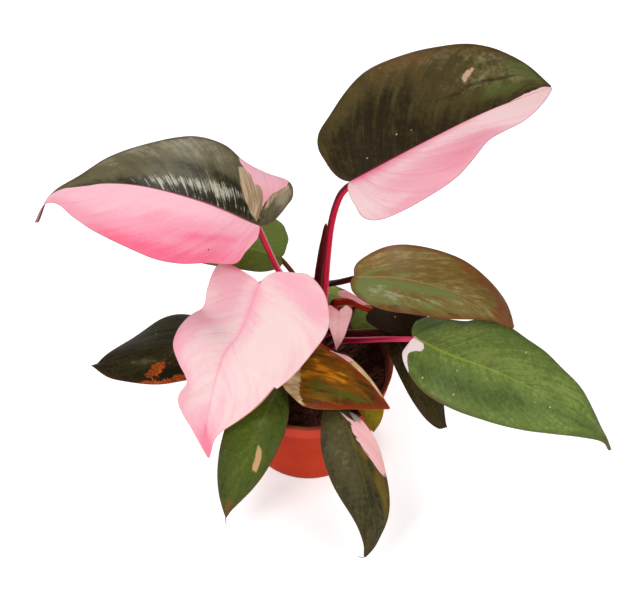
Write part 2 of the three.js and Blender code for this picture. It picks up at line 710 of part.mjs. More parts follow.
addMesh("pot", potGeometry(), TERRACOTTA);
addMesh("soil", soilGeometry(Object.values(STEMS)), SOIL);
for (const [name, stem] of Object.entries(STEMS)) {
  addMesh(`stem_${name}`, stemGeometry(stem), STEM);
}
for (const [name, leaf] of Object.entries(LEAVES)) {
  addMesh(`blade_${name}`, bladeGeometry(leaf), leaf.material);
  addMesh(`stalk_${name}`, stalkGeometry(leaf), STALK);
}
addMesh("sheath", bladeGeometry(CATAPHYLL), CATAPHYLL.material);

export default plant;
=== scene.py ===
"""The looks of a pink princess philodendron in its nursery pot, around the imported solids."""

import math
import random

import bmesh
import bpy
import numpy as np
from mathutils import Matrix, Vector
from mathutils.geometry import delaunay_2d_cdt


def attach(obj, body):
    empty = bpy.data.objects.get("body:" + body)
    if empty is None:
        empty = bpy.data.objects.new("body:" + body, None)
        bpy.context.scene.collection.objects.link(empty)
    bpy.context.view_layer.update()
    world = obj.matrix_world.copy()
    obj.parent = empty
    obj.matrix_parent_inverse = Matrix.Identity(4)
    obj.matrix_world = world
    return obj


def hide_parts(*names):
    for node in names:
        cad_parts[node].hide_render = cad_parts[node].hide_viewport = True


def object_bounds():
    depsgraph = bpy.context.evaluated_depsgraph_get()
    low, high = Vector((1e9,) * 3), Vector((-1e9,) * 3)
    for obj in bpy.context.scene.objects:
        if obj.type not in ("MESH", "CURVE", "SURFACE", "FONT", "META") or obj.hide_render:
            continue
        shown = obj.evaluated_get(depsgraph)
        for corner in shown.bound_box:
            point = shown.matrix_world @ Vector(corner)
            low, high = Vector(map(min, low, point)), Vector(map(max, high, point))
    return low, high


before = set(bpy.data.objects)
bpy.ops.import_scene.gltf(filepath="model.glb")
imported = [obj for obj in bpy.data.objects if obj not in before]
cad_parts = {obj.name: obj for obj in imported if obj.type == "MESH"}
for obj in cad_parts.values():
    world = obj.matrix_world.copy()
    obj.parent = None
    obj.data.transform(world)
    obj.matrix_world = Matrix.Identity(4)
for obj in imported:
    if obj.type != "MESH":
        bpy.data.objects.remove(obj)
cad_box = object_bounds()

# ---- the plant's sizes, in millimetres -----------------------------------

# Half outlines of a blade, from its foot to its tip: along the midrib and out from it, as shares of its
# length and width.
HEART = [(-0.09, 0.28), (-0.09, 0.56), (0.0, 0.82), (0.14, 0.96), (0.3, 1), (0.46, 0.93),
         (0.61, 0.77), (0.75, 0.54), (0.87, 0.29), (0.95, 0.1), (1, 0.015)]
ROUNDED = [(0, 0.08), (-0.015, 0.28), (0.01, 0.52), (0.09, 0.78), (0.2, 0.94), (0.33, 1),
           (0.48, 0.94), (0.63, 0.78), (0.77, 0.54), (0.89, 0.26), (1, 0.015)]
OVATE = [(0, 0.05), (0.02, 0.2), (0.06, 0.42), (0.14, 0.68), (0.26, 0.92), (0.38, 1),
         (0.52, 0.95), (0.67, 0.78), (0.81, 0.5), (0.92, 0.2), (1, 0.015)]
LANCE = [(0, 0.7), (0.12, 0.95), (0.24, 1), (0.36, 0.98), (0.48, 0.9),
         (0.6, 0.8), (0.72, 0.68), (0.84, 0.56), (0.95, 0.48), (1, 0.1)]
VEIN_LEAN = 1.7  # the power that moves the veins' feet towards the stalk
ROWS = {"fine": 12, "coarse": 9, "narrow": 16}  # rows that give a blade its margin's points
LEFT, RIGHT = 0, 1

STEM_FOOT = 44  # where the buried ends of the stems stop
STEMS = {
    "tall": {"path": [(8, 12, 44), (8, 12, 62), (8, 12, 80), (8, 13, 112), (9, 15, 142)],
             "radius": (5.5, 4), "nodes": 4},
    "short": {"path": [(-13, -8, 44), (-13, -8, 62), (-13, -8, 78), (-13, -8, 92), (-12, -7, 106)],
              "radius": (5, 4), "nodes": 3},
}


def half(width, fold, droop=0.1, belly=1.0, taper=1.0, outline=None):
    """Half a blade. fold is in degrees, at the foot and at the tip."""
    return {"width": width, "fold": fold, "droop": droop, "belly": belly, "taper": taper, "outline": outline}


def stalk(stem, height, azimuth, rise, radius, through):
    """A leaf stalk: where it leaves its stem, its radius at both ends, and points on its way."""
    return {"stem": stem, "height": height, "azimuth": azimuth, "rise": rise, "radius": radius,
            "through": through}


def form(heading, wave, spine, left, right, stalk=None, roll=(0, 0), outline=HEART, grid="fine"):
    """A leaf. wave is its margin's height, number and phase."""
    return {"heading": heading, "wave": wave, "spine": spine, "halves": (left, right), "stalk": stalk,
            "roll": roll, "outline": outline, "grid": grid}


LEAVES = {
    "top_right": form(
        heading=31, wave=(1.2, 3, 0.1),
        spine=[(27, 25, 240), (72, 46, 252), (117, 75, 253), (162, 107, 243)],
        left=half(62, (25, 20), 0.05, outline=[(-0.045, 0.25), (-0.045, 0.45), (-0.01, 0.62),
            (0.065, 0.745), (0.16, 0.87), (0.27, 0.97), (0.39, 1), (0.52, 0.965), (0.64, 0.87),
            (0.77, 0.76), (0.88, 0.61), (0.96, 0.37), (1, 0.015)]),
        right=half(57, (24, 12), 0.05, outline=[(-0.04, 0.45), (-0.045, 0.78), (0, 0.99), (0.09, 1.01),
            (0.2, 0.95), (0.31, 0.86), (0.42, 0.68), (0.51, 0.53), (0.61, 0.46), (0.71, 0.415),
            (0.81, 0.32), (0.91, 0.18), (1, 0.015)]),
        stalk=stalk("tall", 118, -70, 72, (3, 2.4), [(11, 6, 142), (13, 17, 174), (16, 24, 203),
            (21, 26, 225)])),
    "top_left": form(
        heading=166, wave=(1.2, 3, 0.3), roll=(12, 5),
        spine=[(-31, 23, 200), (-66, 31, 214), (-109, 42, 218), (-144, 54, 206), (-172, 60, 190),
            (-185, 56, 166)],
        left=half(46, (-10, -8), 0.08, outline=[(-0.01, 0.2), (0.01, 0.42), (0.03, 0.64), (0.12, 0.8),
            (0.21, 0.94), (0.31, 0.98), (0.42, 0.92), (0.53, 0.82), (0.63, 0.68), (0.72, 0.48),
            (0.81, 0.22), (0.9, 0.07), (1, 0.015)]),
        right=half(54, (-8, -8), 0.08, outline=[(-0.055, 0.33), (-0.08, 0.6), (-0.05, 0.81), (0.04, 0.81),
            (0.13, 0.85), (0.22, 0.98), (0.33, 0.99), (0.44, 0.87), (0.55, 0.715), (0.645, 0.5),
            (0.74, 0.15), (0.86, 0.03), (1, 0.015)]),
        stalk=stalk("tall", 116, 180, 60, (2.8, 2.2), [(-8, 11, 142), (-19, 12, 168), (-26, 17, 185)])),
    "back_left": form(
        heading=170, wave=(1, 2, 0.2), outline=ROUNDED,
        spine=[(-18, 39, 150), (-49, 42, 158), (-99, 58, 142)],
        left=half(17, (-12, -8), belly=0.9),
        right=half(44, (-12, -8), outline=[(-0.03, 0.25), (-0.045, 0.5), (-0.02, 0.7), (0.02, 0.9),
            (0.1, 1), (0.22, 1), (0.34, 0.95), (0.47, 0.85), (0.6, 0.7), (0.72, 0.52), (0.83, 0.32),
            (0.93, 0.13), (1, 0.015)]),
        stalk=stalk("tall", 102, 125, 50, (2.2, 1.7), [(-1, 26, 124), (-10, 34, 138)])),
    "centre_heart": form(
        heading=234, wave=(1.5, 3, 0),
        spine=[(-31, -11, 182), (-43, -31, 158), (-56, -43, 142), (-67, -56, 95), (-68, -68, 64)],
        left=half(52, (-8, -5), 0.08, outline=[(-0.1, 0.3), (-0.13, 0.55), (-0.085, 0.79), (0.01, 0.95),
            (0.1, 1), (0.2, 0.93), (0.31, 0.81), (0.41, 0.745), (0.53, 0.66), (0.66, 0.49), (0.79, 0.27),
            (0.895, 0.09), (1, 0.015)]),
        right=half(42, (-8, -5), 0.08, outline=[(-0.015, 0.35), (-0.01, 0.66), (0.02, 0.89), (0.13, 0.9),
            (0.22, 0.855), (0.325, 0.9), (0.43, 1), (0.53, 1), (0.605, 0.81), (0.675, 0.58), (0.785, 0.69),
            (0.875, 0.3), (1, 0.015)]),
        stalk=stalk("short", 98, 150, 65, (2.6, 2), [(-20, 0, 128), (-25, -1, 154), (-28, -5, 170)])),
    "left": form(
        heading=183, wave=(1.2, 3, 0.4), roll=(-5, -5),
        spine=[(-50, 2, 96), (-88, 1, 101), (-124, 0, 91), (-153, 2, 75)],
        left=half(29, (-6, -8), 0.08, 0.75, 0.9), right=half(37, (-8, -8), 0.1, 0.8, 1.6),
        stalk=stalk("short", 90, 180, 30, (2.2, 1.7), [(-32, -3, 91), (-43, 0, 93)])),
    "front_left": form(
        heading=239, wave=(1, 2, 0.1), roll=(5, 5), outline=OVATE,
        spine=[(-18, -27, 98), (-27, -53, 99), (-40, -74, 76), (-57, -93, 26)],
        left=half(17, (-8, -8), 0.05, 1, 1.2), right=half(24, (-8, -8), 0.05, 0.95, 0.8),
        stalk=stalk("short", 86, 255, 30, (2, 1.6), [(-15, -20, 91)])),
    "centre_orange": form(
        heading=-45, wave=(1, 2, 0.2), roll=(-10, -10),
        spine=[(8, -13, 118), (24, -27, 121), (41, -41, 115), (55, -55, 104)],
        left=half(8.5, (50, 40), 0.05, outline=[(0, 0.2), (0.05, 0.22), (0.12, 0.22), (0.18, 0.22),
            (0.24, 0.26), (0.3, 0.38), (0.36, 0.48), (0.44, 0.48), (0.53, 0.46), (0.63, 0.39), (0.75, 0.28),
            (0.88, 0.13), (1, 0.015)]),
        right=half(40, (-8, -5), outline=[(-0.1, 0.2), (-0.14, 0.4), (-0.13, 0.62), (-0.115, 0.8),
            (-0.06, 0.91), (0.04, 0.955), (0.14, 0.985), (0.26, 1), (0.39, 0.955), (0.53, 0.83),
            (0.68, 0.65), (0.84, 0.38), (1, 0.015)]),
        stalk=stalk("short", 98, 0, 40, (2, 1.6), [(0, -11, 108)])),
    "front_small": form(
        heading=-68, wave=(0.5, 2, 0), outline=OVATE, grid="coarse",
        spine=[(26, -7, 96), (34, -30, 96), (42, -46, 89), (45, -55, 76)],
        left=half(14, (5, 5), outline=[(0, 0.08), (0.05, 0.18), (0.12, 0.28), (0.22, 0.4), (0.35, 0.58),
            (0.5, 0.8), (0.63, 0.87), (0.77, 0.71), (0.91, 0.42), (1, 0.015)]),
        right=half(10, (5, 5), outline=[(0, 0.1), (0.05, 0.3), (0.14, 0.6), (0.27, 0.85), (0.4, 0.95),
            (0.53, 0.95), (0.66, 0.78), (0.79, 0.57), (0.91, 0.35), (1, 0.015)]),
        stalk=stalk("short", 88, 5, 20, (1.6, 1.2), [(6, -8, 91), (17, -9, 93)])),
    "front_right": form(
        heading=-74, wave=(1, 3, 0.2), outline=OVATE,
        spine=[(17, -42, 98), (26, -66, 100), (36, -86, 76), (42, -104, 48), (39, -120, 20)],
        left=half(17, (-8, -8), 0.1, 0.8, 0.5), right=half(22, (-8, -8), 0.1, 1, 1.4),
        stalk=stalk("short", 84, -50, 20, (2, 1.6), [(2, -27, 89), (10, -36, 92)])),
    "right": form(
        heading=-25, wave=(1.5, 3, 0.1), roll=(-15, -12), outline=ROUNDED,
        spine=[(71, -15, 130), (93, -34, 137), (127, -48, 134), (164, -61, 120), (195, -72, 98),
            (203, -75, 84)],
        left=half(39, (-10, -8), outline=[(-0.04, 0.3), (0, 0.5), (0.07, 0.64), (0.15, 0.77), (0.25, 0.91),
            (0.35, 0.97), (0.45, 0.9), (0.55, 0.82), (0.64, 0.64), (0.74, 0.5), (0.84, 0.28), (0.92, 0.1),
            (1, 0.015)]),
        right=half(33, (-10, -10), 0.1, 0.95, 1.4),
        stalk=stalk("tall", 84, -35, 50, (2.6, 2), [(23, 2, 103.5), (36, -4, 112.5), (52, -10, 121.5),
            (62, -13, 125.5)])),
    "mid_right": form(
        heading=-13, wave=(1.2, 3, 0.3), roll=(-16, -12), outline=ROUNDED,
        spine=[(31, 9, 165), (61, 0, 174), (91, -8, 172), (120, -12, 158), (137, -15, 140)],
        left=half(30, (-8, -8), 0.1, 0.9, 0.6),
        right=half(23, (-10, -8), outline=[(-0.02, 0.2), (0, 0.42), (0.045, 0.64), (0.115, 0.81),
            (0.205, 0.92), (0.31, 0.965), (0.41, 0.93), (0.5, 0.85), (0.585, 0.75), (0.68, 0.61),
            (0.775, 0.44), (0.88, 0.22), (1, 0.015)]),
        stalk=stalk("tall", 124, 85, 55, (2.4, 2.1), [(11, 23, 138), (15, 18.5, 146), (22, 13, 154.5)])),
    "under_right": form(
        heading=-56, wave=(0.8, 2, 0.2), spine=[(58, 4, 112), (70, -20, 106), (83, -38, 92), (95, -50, 74)],
        left=half(18, (-8, -8), 0.1, 0.9), right=half(11, (-8, -8), 0.1, 0.5, 0.4),
        stalk=stalk("tall", 94, 15, 20, (3, 2.4), [(30, 10, 102), (44, 8, 106)])),
    "dark_right": form(
        heading=-8, wave=(0.8, 2, 0.2), spine=[(46, 14, 124), (65, 9, 124), (89, 8, 114)],
        left=half(18, (-6, -6)), right=half(15, (-6, -6)),
        stalk=stalk("tall", 120, 10, 45, (4, 1.8), [(19, 15.5, 129.5), (28, 16, 129.5), (37, 15.5, 124)])),
    "tiny_heart": form(
        heading=-95, wave=(0.4, 2, 0), grid="coarse",
        spine=[(21, 0.5, 138), (20, -6.5, 127), (19.5, -10, 109)],
        left=half(9.5, (12, 5), 0.3, outline=[(-0.06, 0.22), (-0.17, 0.44), (-0.14, 0.72), (-0.04, 0.97),
            (0.13, 0.9), (0.336, 0.73), (0.536, 0.58), (0.73, 0.38), (0.88, 0.17), (1, 0.015)]),
        right=half(9.5, (12, 5), 0.3, outline=[(-0.05, 0.25), (-0.12, 0.55), (-0.1, 0.85), (0, 1),
            (0.14, 0.87), (0.32, 0.65), (0.5, 0.43), (0.7, 0.22), (0.87, 0.08), (1, 0.015)]),
        stalk=stalk("tall", 100, -40, 50, (1.4, 1), [(19, 3, 114), (21, 3.5, 127)])),
    "back": form(
        heading=-10, wave=(0.6, 2, 0.1), grid="coarse", spine=[(0, 36, 125), (19, 30, 120), (44, 27, 112)],
        left=half(9, (-6, -6)), right=half(9, (-6, -6)),
        stalk=stalk("tall", 94, 90, 45, (1.6, 1.2), [(5, 30, 106), (0, 36, 116)])),
    "low_right": form(
        heading=38, wave=(0.5, 2, 0), outline=OVATE, grid="coarse",
        spine=[(31, 22, 92), (44, 30, 96), (62, 46, 92)],
        left=half(14, (-6, -6)), right=half(14, (-6, -6)),
        stalk=stalk("tall", 84, 40, 10, (1.6, 1.2), [(22, 19, 87)])),
}
CATAPHYLL = form(
    heading=90, wave=(0, 1, 0), outline=LANCE, grid="narrow",
    spine=[(7.7, 15.4, 142.8), (7, 16.8, 152), (8.7, 19.5, 172), (10, 22.2, 183), (12.4, 26, 199)],
    left=half(2.9, (30, 30), 0), right=half(2.9, (30, 30), 0))


# ---- curves and surfaces -------------------------------------------------

def unit(vectors):
    return vectors / np.linalg.norm(vectors, axis=-1, keepdims=True)


def lerp(a, b, t):
    return a + (b - a) * t


def smoothstep(x, low, high):
    t = np.clip((x - low) / (high - low), 0, 1)
    return t * t * (3 - 2 * t)


class Curve:
    """A smooth curve through points, also measured by the share of its length."""

    def __init__(self, points):
        points = np.array(points, float)
        self.last = len(points) - 1
        self.points = np.vstack([2 * points[0] - points[1], points, 2 * points[-1] - points[-2]])
        self.steps = np.linspace(0, 1, 201)
        reach = np.linalg.norm(np.diff(self.point(self.steps), axis=0), axis=1)
        self.sums = np.concatenate([[0], np.cumsum(reach)])
        self.length = self.sums[-1]

    def point(self, t):
        place = np.clip(t, 0, 1) * self.last
        i = np.minimum(place.astype(int), self.last - 1)
        w = (place - i)[..., None]
        p0, p1, p2, p3 = (self.points[i + k] for k in range(4))
        v0 = (p2 - p0) / 2
        v1 = (p3 - p1) / 2
        return (2 * p1 - 2 * p2 + v0 + v1) * w**3 + (3 * p2 - 3 * p1 - 2 * v0 - v1) * w**2 + v0 * w + p1

    def step(self, share):
        return np.interp(np.asarray(share) * self.length, self.sums, self.steps)

    def at(self, share):
        return self.point(self.step(share))

    def tangent(self, share):
        t = self.step(share)
        return unit(self.point(np.minimum(t + 1e-4, 1)) - self.point(np.maximum(t - 1e-4, 0)))


class Blade:
    """A blade's middle surface. u runs from the notch to the tip, v from the left margin (-1) over
    the midrib (0) to the right margin (1), both along the veins."""

    def __init__(self, leaf):
        self.leaf = leaf
        self.spine = Curve(leaf["spine"])
        self.length = self.spine.length
        steps = np.linspace(0, 1, ROWS[leaf["grid"]] + 1)
        self.margins = []
        for side in leaf["halves"]:
            outline = Curve(side["outline"] or leaf["outline"])
            self.margins.append(Curve(self.shaped(outline.point(steps), steps, side)))
        heading = math.radians(leaf["heading"])
        self.level = np.array([math.sin(heading), -math.cos(heading), 0])

    def frame(self, x):
        """A point of the midrib, and the ways along it, across the blade and up from it."""
        t = np.clip(x, 0, 1)
        along = self.spine.tangent(t)
        across = unit(self.level - along * (along @ self.level)[..., None])
        up = np.cross(across, along)
        roll = np.radians(lerp(*self.leaf["roll"], t))[..., None]
        point = self.spine.at(t) + along * ((x - t) * self.length)[..., None]
        rolled = across * np.cos(roll) + up * np.sin(roll)
        return point, along, rolled, up * np.cos(roll) - across * np.sin(roll)

    @staticmethod
    def shaped(points, u, side):
        """An outline's points as one half of a blade bends them."""
        x, y = points.T
        x = np.where(x < 0, x, np.abs(x) ** side["belly"])
        slim = smoothstep(u, 0.35, 0.65) - smoothstep(u, 0.92, 1)
        return np.column_stack([x, y ** lerp(1, side["taper"], slim)])

    def pick(self, key, v, end=None):
        """A value of the half that v lies in."""
        left, right = (h[key] if end is None else h[key][end] for h in self.leaf["halves"])
        return np.where(v < 0, left, right)

    def lay(self, u, v):
        """Where a point lies on the flattened blade, as in an outline."""
        s = np.abs(v)
        foot = u**VEIN_LEAN
        margin = np.where((v < 0)[..., None], self.margins[LEFT].point(u), self.margins[RIGHT].point(u))
        mx, my = margin[..., 0], margin[..., 1]
        notch = 1 - smoothstep(u, 0, 0.15)
        bend_x = lerp(foot, mx, lerp(0.3, 0.9, notch))
        bend_y = my * lerp(0.6, 0.25, notch)
        x = foot * (1 - s) ** 2 + bend_x * 2 * s * (1 - s) + mx * s**2
        return x, bend_y * 2 * s * (1 - s) + my * s**2

    def surface(self, u, v):
        """Points of the middle surface, and the ways that it faces."""
        sign = np.where(v < 0, -1, 1)
        s = np.abs(v)
        x, y = self.lay(u, v)
        point, _, across, up = self.frame(x)
        fold = np.radians(lerp(self.pick("fold", v, 0), self.pick("fold", v, 1), np.clip(x, 0, 1)))
        width, droop = self.pick("width", v), self.pick("droop", v)
        height, waves, phase = self.leaf["wave"]
        wave = height * s**2 * np.sin(2 * np.pi * (waves * u + phase + 0.5 * (v >= 0)))
        rise = y * np.sin(fold) - droop * y**2
        point = point + across * (sign * y * width * np.cos(fold))[..., None]
        point = point + up * (rise * width + wave)[..., None]
        slope = np.where(s == 0, 0, np.arctan(np.tan(fold) - 2 * droop * y))[..., None]
        return point, up * np.cos(slope) - across * sign[..., None] * np.sin(slope)


# ---- meshes --------------------------------------------------------------

METRES = 0.001
ROOM = 0.03  # kept between the looks and the CAD box, in millimetres
box_low, box_high = (np.array(corner) / METRES for corner in cad_box)


def piece(name, points, faces, material, slot, replaces=(), **attributes):
    """One mesh object of the plant, in millimetres, with its attributes, material and place."""
    mesh = bpy.data.meshes.new(name)
    points = np.clip(np.asarray(points, float), box_low + ROOM, box_high - ROOM)
    mesh.from_pydata((points * METRES).tolist(), [], faces)
    for key, values in attributes.items():
        values = np.asarray(values, np.float32)
        kind, field = ("FLOAT", "value") if values.ndim == 1 else ("FLOAT_VECTOR", "vector")
        mesh.attributes.new(key, kind, "POINT").data.foreach_set(field, values.ravel())
    mesh.validate()
    mesh.shade_smooth()
    mesh.materials.append(material)
    thing = bpy.data.objects.new(name, mesh)
    bpy.context.scene.collection.objects.link(thing)
    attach(thing, "root")
    if replaces:
        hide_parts(*replaces)
    return thing


def inside_by(points, polygon):
    """How far points lie inside a polygon's outline, negative outside it."""
    best = np.full(len(points), np.inf)
    inside = np.zeros(len(points), bool)
    x, y = points.T
    for p, q in zip(polygon, np.roll(polygon, -1, axis=0)):
        edge = q - p
        t = np.clip((points - p) @ edge / (edge @ edge), 0, 1)
        best = np.minimum(best, np.linalg.norm(points - p - t[:, None] * edge, axis=1))
        if p[1] != q[1]:
            level = (p[1] > y) != (q[1] > y)
            inside ^= level & (x < edge[0] * (y - p[1]) / edge[1] + p[0])
    return np.where(inside, best, -best)


def grid_faces(rows, columns, closed=False, start=0):
    faces = []
    for i in range(rows - 1):
        for j in range(columns - (0 if closed else 1)):
            a = start + i * columns + j
            b = start + i * columns + (j + 1) % columns
            faces.append((a, b, b + columns, a + columns))
    return faces


PATCHES = ("pink", "marble", "scar", "stain", "crease")
SHADES = ("tone", "blush", "tint", "tan", "painted_sheen")
RIB_COLUMNS = np.array([0.45, 0.9, 1.5, 2.4, 3.6])  # close columns beside the midrib, in millimetres
MARGIN_HALF, MIDDLE_HALF = 0.14, 0.3  # half the blade's thickness at the margin and away from it
MARGIN_TAPER = 5  # how far in from the margin the blade reaches its full thickness
MARGIN_BULGE = 0.12
FAR_OUTSIDE = -50.0  # the depth in a patch of a leaf that has none


def leaf_blade(name, looks, material, node):
    """A blade with both its faces, a rounded margin, a midrib and side veins."""
    blade = looks["blade"]
    rows = looks["rows"]
    t = np.linspace(0, 1, rows)
    us = lerp(t, 0.5 - 0.5 * np.cos(np.pi * t), 0.6)
    sides = []
    for side in blade.leaf["halves"]:
        near = RIB_COLUMNS / max(side["width"], 9)
        outer = np.linspace(near[-1], 1, looks["columns"])[1:]
        sides.append(np.concatenate([near, outer]))
    vs = np.concatenate([-sides[0][::-1], [0], sides[1]])
    columns = len(vs)
    u, v = (a.ravel() for a in np.meshgrid(us, vs, indexing="ij"))
    point, normal = blade.surface(u, v)
    s = np.abs(v)
    width = blade.pick("width", v)
    rim = grid_rim(rows, columns)
    gap = np.full(len(u), np.inf)
    for k in rim:
        gap = np.minimum(gap, np.linalg.norm(point - point[k], axis=1))

    veins = looks["veins"]
    leaning = u - looks["lean"] * s * width / blade.length
    swell = np.abs(np.sin(np.pi * (leaning * veins + 0.5 * (v > 0)))) ** 0.7 - 0.6
    swell *= smoothstep(s, 0, 0.2) * (1 - smoothstep(s, 0.75, 1)) * (1 - smoothstep(u, 0.8, 1))
    swell *= looks["quilt"]
    channel = looks["channel"] * (1 - 0.6 * u) * np.exp(-((s * width / 1.1) ** 2))
    rib = looks["rib"] * (1 - 0.7 * u) * np.exp(-((s * width / (1.6 - 0.8 * u)) ** 2))
    thick = lerp(MARGIN_HALF, MIDDLE_HALF, smoothstep(gap, 0, MARGIN_TAPER))
    top = point + normal * (thick + swell - channel)[:, None]
    bottom = point - normal * (thick - swell + rib)[:, None]
    tangent = unit(np.roll(point[rim], -1, axis=0) - np.roll(point[rim], 1, axis=0))
    edge = point[rim] + np.cross(tangent, normal[rim]) * MARGIN_BULGE

    count = rows * columns
    faces = grid_faces(rows, columns)
    faces += [tuple(count + k for k in reversed(face)) for face in faces]
    for k, index in enumerate(rim):
        after = (k + 1) % len(rim)
        a, b = 2 * count + k, 2 * count + after
        faces.append((rim[after], index, a, b))
        faces.append((b, a, count + index, count + rim[after]))

    def both(values):
        return np.concatenate([values, values, values[rim]])

    along_veins = np.column_stack([leaning * blade.length, v * width, np.zeros(len(u))])
    x, y = blade.lay(u, v)
    flow = np.where(v < 0, *looks["flow"]) * x * blade.length
    sweep = looks["sweep"] * y * width
    strokes = np.column_stack([flow - sweep, 0.35 * x * blade.length, np.zeros(len(u))])
    scale = np.array([blade.length, max(h["width"] for h in blade.leaf["halves"])])
    flat = np.stack([u, v], axis=1) * scale
    attributes = {"vein": both(along_veins), "strokes": both(strokes), "margin": both(gap)}
    for key in PATCHES:
        field = np.full(len(u), FAR_OUTSIDE)
        for shape in looks[key]:
            field = np.maximum(field, inside_by(flat, np.array(shape) * scale))
        attributes[key] = both(field)
    for key in SHADES:
        base, *spots = looks[key] or (0,)
        field = np.full(len(u), float(base))
        for su, sv, ru, rv, strength in spots:
            field += strength * np.exp(-(((u - su) / ru) ** 2) - ((v - sv) / rv) ** 2)
        attributes[key] = both(field)
    attributes["under"] = np.concatenate([np.zeros(count), np.ones(count), np.full(len(rim), 0.3)])
    return piece(name, np.vstack([top, bottom, edge]), faces, material, looks["slot"], (node,), **attributes)


def grid_rim(rows, columns):
    """The indices round the edge of a grid of points, anticlockwise as seen from above it."""
    last = (rows - 1) * columns
    right = [i * columns + columns - 1 for i in range(1, rows - 1)]
    left = [i * columns for i in range(rows - 2, 0, -1)]
    return np.array(list(range(columns)) + right + list(range(last + columns - 1, last - 1, -1)) + left)


def tube(curve, steps, sides, facing, radius_at, shape_at=None):
    """Rings of points along a curve. facing gives the way each ring's first point looks."""
    shares = np.linspace(0, 1, steps + 1)
    along = curve.tangent(shares)
    centre = curve.at(shares)
    first = unit(facing - along * np.sum(along * facing, axis=1)[:, None])
    second = np.cross(along, first)
    angle = np.arange(sides) / sides * 2 * np.pi
    ring = np.stack([np.cos(angle), np.sin(angle)], axis=1)
    points, where = [], []
    for k, share in enumerate(shares):
        flat = ring * radius_at(share)
        if shape_at:
            flat = shape_at(share, ring, flat)
        points.append(centre[k] + flat[:, :1] * first[k] + flat[:, 1:] * second[k])
        turn = np.column_stack([np.full(sides, share * curve.length), ring])
        where.append(turn)
    faces = grid_faces(steps + 1, sides, closed=True)
    faces = [tuple(reversed(face)) for face in faces]
    total = (steps + 1) * sides
    foot, end = total, total + 1
    points = np.vstack(points + [centre[:1], centre[-1:]])
    where = np.vstack(where + [[(0, 0, 0)], [(curve.length, 0, 0)]])
    for k in range(sides):
        after = (k + 1) % sides
        faces.append((foot, k, after))
        faces.append((end, total - sides + after, total - sides + k))
    return points, faces, where


# ---- materials -----------------------------------------------------------

def rgb(value):
    """A colour from its eight-bit screen values, as Blender's linear values."""
    parts = [(value >> shift & 255) / 255 for shift in (16, 8, 0)]
    return tuple(c / 12.92 if c <= 0.04045 else ((c + 0.055) / 1.055) ** 2.4 for c in parts) + (1,)


class Paint:
    """A material whose colour and surface are worked out by nodes."""

    def __init__(self, name, **shader):
        self.material = bpy.data.materials.new(name)
        self.material.use_nodes = True
        self.tree = self.material.node_tree
        self.shader = self.tree.nodes["Principled BSDF"]
        for key, value in shader.items():
            self.shader.inputs[key.replace("_", " ").title().replace("Ior", "IOR")].default_value = value
        place = self.tree.nodes.new("ShaderNodeTexCoord").outputs["Object"]
        self.place = self.vector("SCALE", place, Scale=1 / METRES)

    def put(self, socket, value):
        if isinstance(value, bpy.types.NodeSocket):
            self.tree.links.new(value, socket)
        else:
            socket.default_value = value

    def node(self, kind, inputs, output=0, **settings):
        made = self.tree.nodes.new("ShaderNode" + kind)
        for key, value in settings.items():
            setattr(made, key, value)
        for key, value in inputs.items():
            self.put(made.inputs[key], value)
        return made.outputs[output]

    def math(self, operation, *values):
        return self.node("Math", dict(enumerate(values)), operation=operation)

    def times(self, a, b):
        return self.math("MULTIPLY", a, b)

    def add(self, value, factor, base):
        """The value times the factor, and the base added."""
        return self.math("MULTIPLY_ADD", value, factor, base)

    def total(self, base, *parts):
        """A base with values added, each times its factor."""
        for value, factor in parts:
            base = self.add(value, factor, base)
        return base

    def vector(self, operation, *values, **inputs):
        return self.node("VectorMath", {**dict(enumerate(values)), **inputs}, operation=operation)

    def attribute(self, name, output="Fac"):
        return self.node("Attribute", {}, output, attribute_name=name)

    def axes(self, vector):
        split = self.tree.nodes.new("ShaderNodeSeparateXYZ")
        self.put(split.inputs[0], vector)
        return split.outputs[0], split.outputs[1], split.outputs[2]

    def noise(self, vector, detail=3, roughness=0.55):
        """Noise between about -1 and 1, one lump a unit."""
        inputs = {"Vector": vector, "Scale": 1, "Detail": detail, "Roughness": roughness}
        return self.add(self.node("TexNoise", inputs), 4, -2)

    def lumps(self, *scale, **settings):
        """Noise with so many lumps a millimetre, all round or along each axis."""
        return self.noise(self.stretched(self.place, *(scale * 3)[:3]), **settings)

    def stretched(self, vector, *scale):
        return self.vector("MULTIPLY", vector, scale)

    def smooth(self, value, low, high, start=0, end=1):
        inputs = {"Value": value, "From Min": low, "From Max": high, "To Min": start, "To Max": end}
        return self.node("MapRange", inputs, interpolation_type="SMOOTHSTEP")

    def mix(self, share, a, b):
        return self.node("Mix", {0: share, 6: a, 7: b}, 2, data_type="RGBA")

    def over(self, skin, colour, field, low, high, start=0, end=1):
        """A colour laid over the skin as a field goes from low to high."""
        return self.mix(self.smooth(field, low, high, start, end), skin, colour)

    def finish(self, colour, roughness, height, depth):
        self.put(self.shader.inputs["Base Color"], colour)
        self.put(self.shader.inputs["Roughness"], roughness)
        normal = self.node("Bump", {"Height": height, "Strength": 1, "Distance": depth * METRES})
        self.put(self.shader.inputs["Normal"], normal)
        return self.material


BRONZED = 4  # how far the bronze comes in from the margin, in millimetres


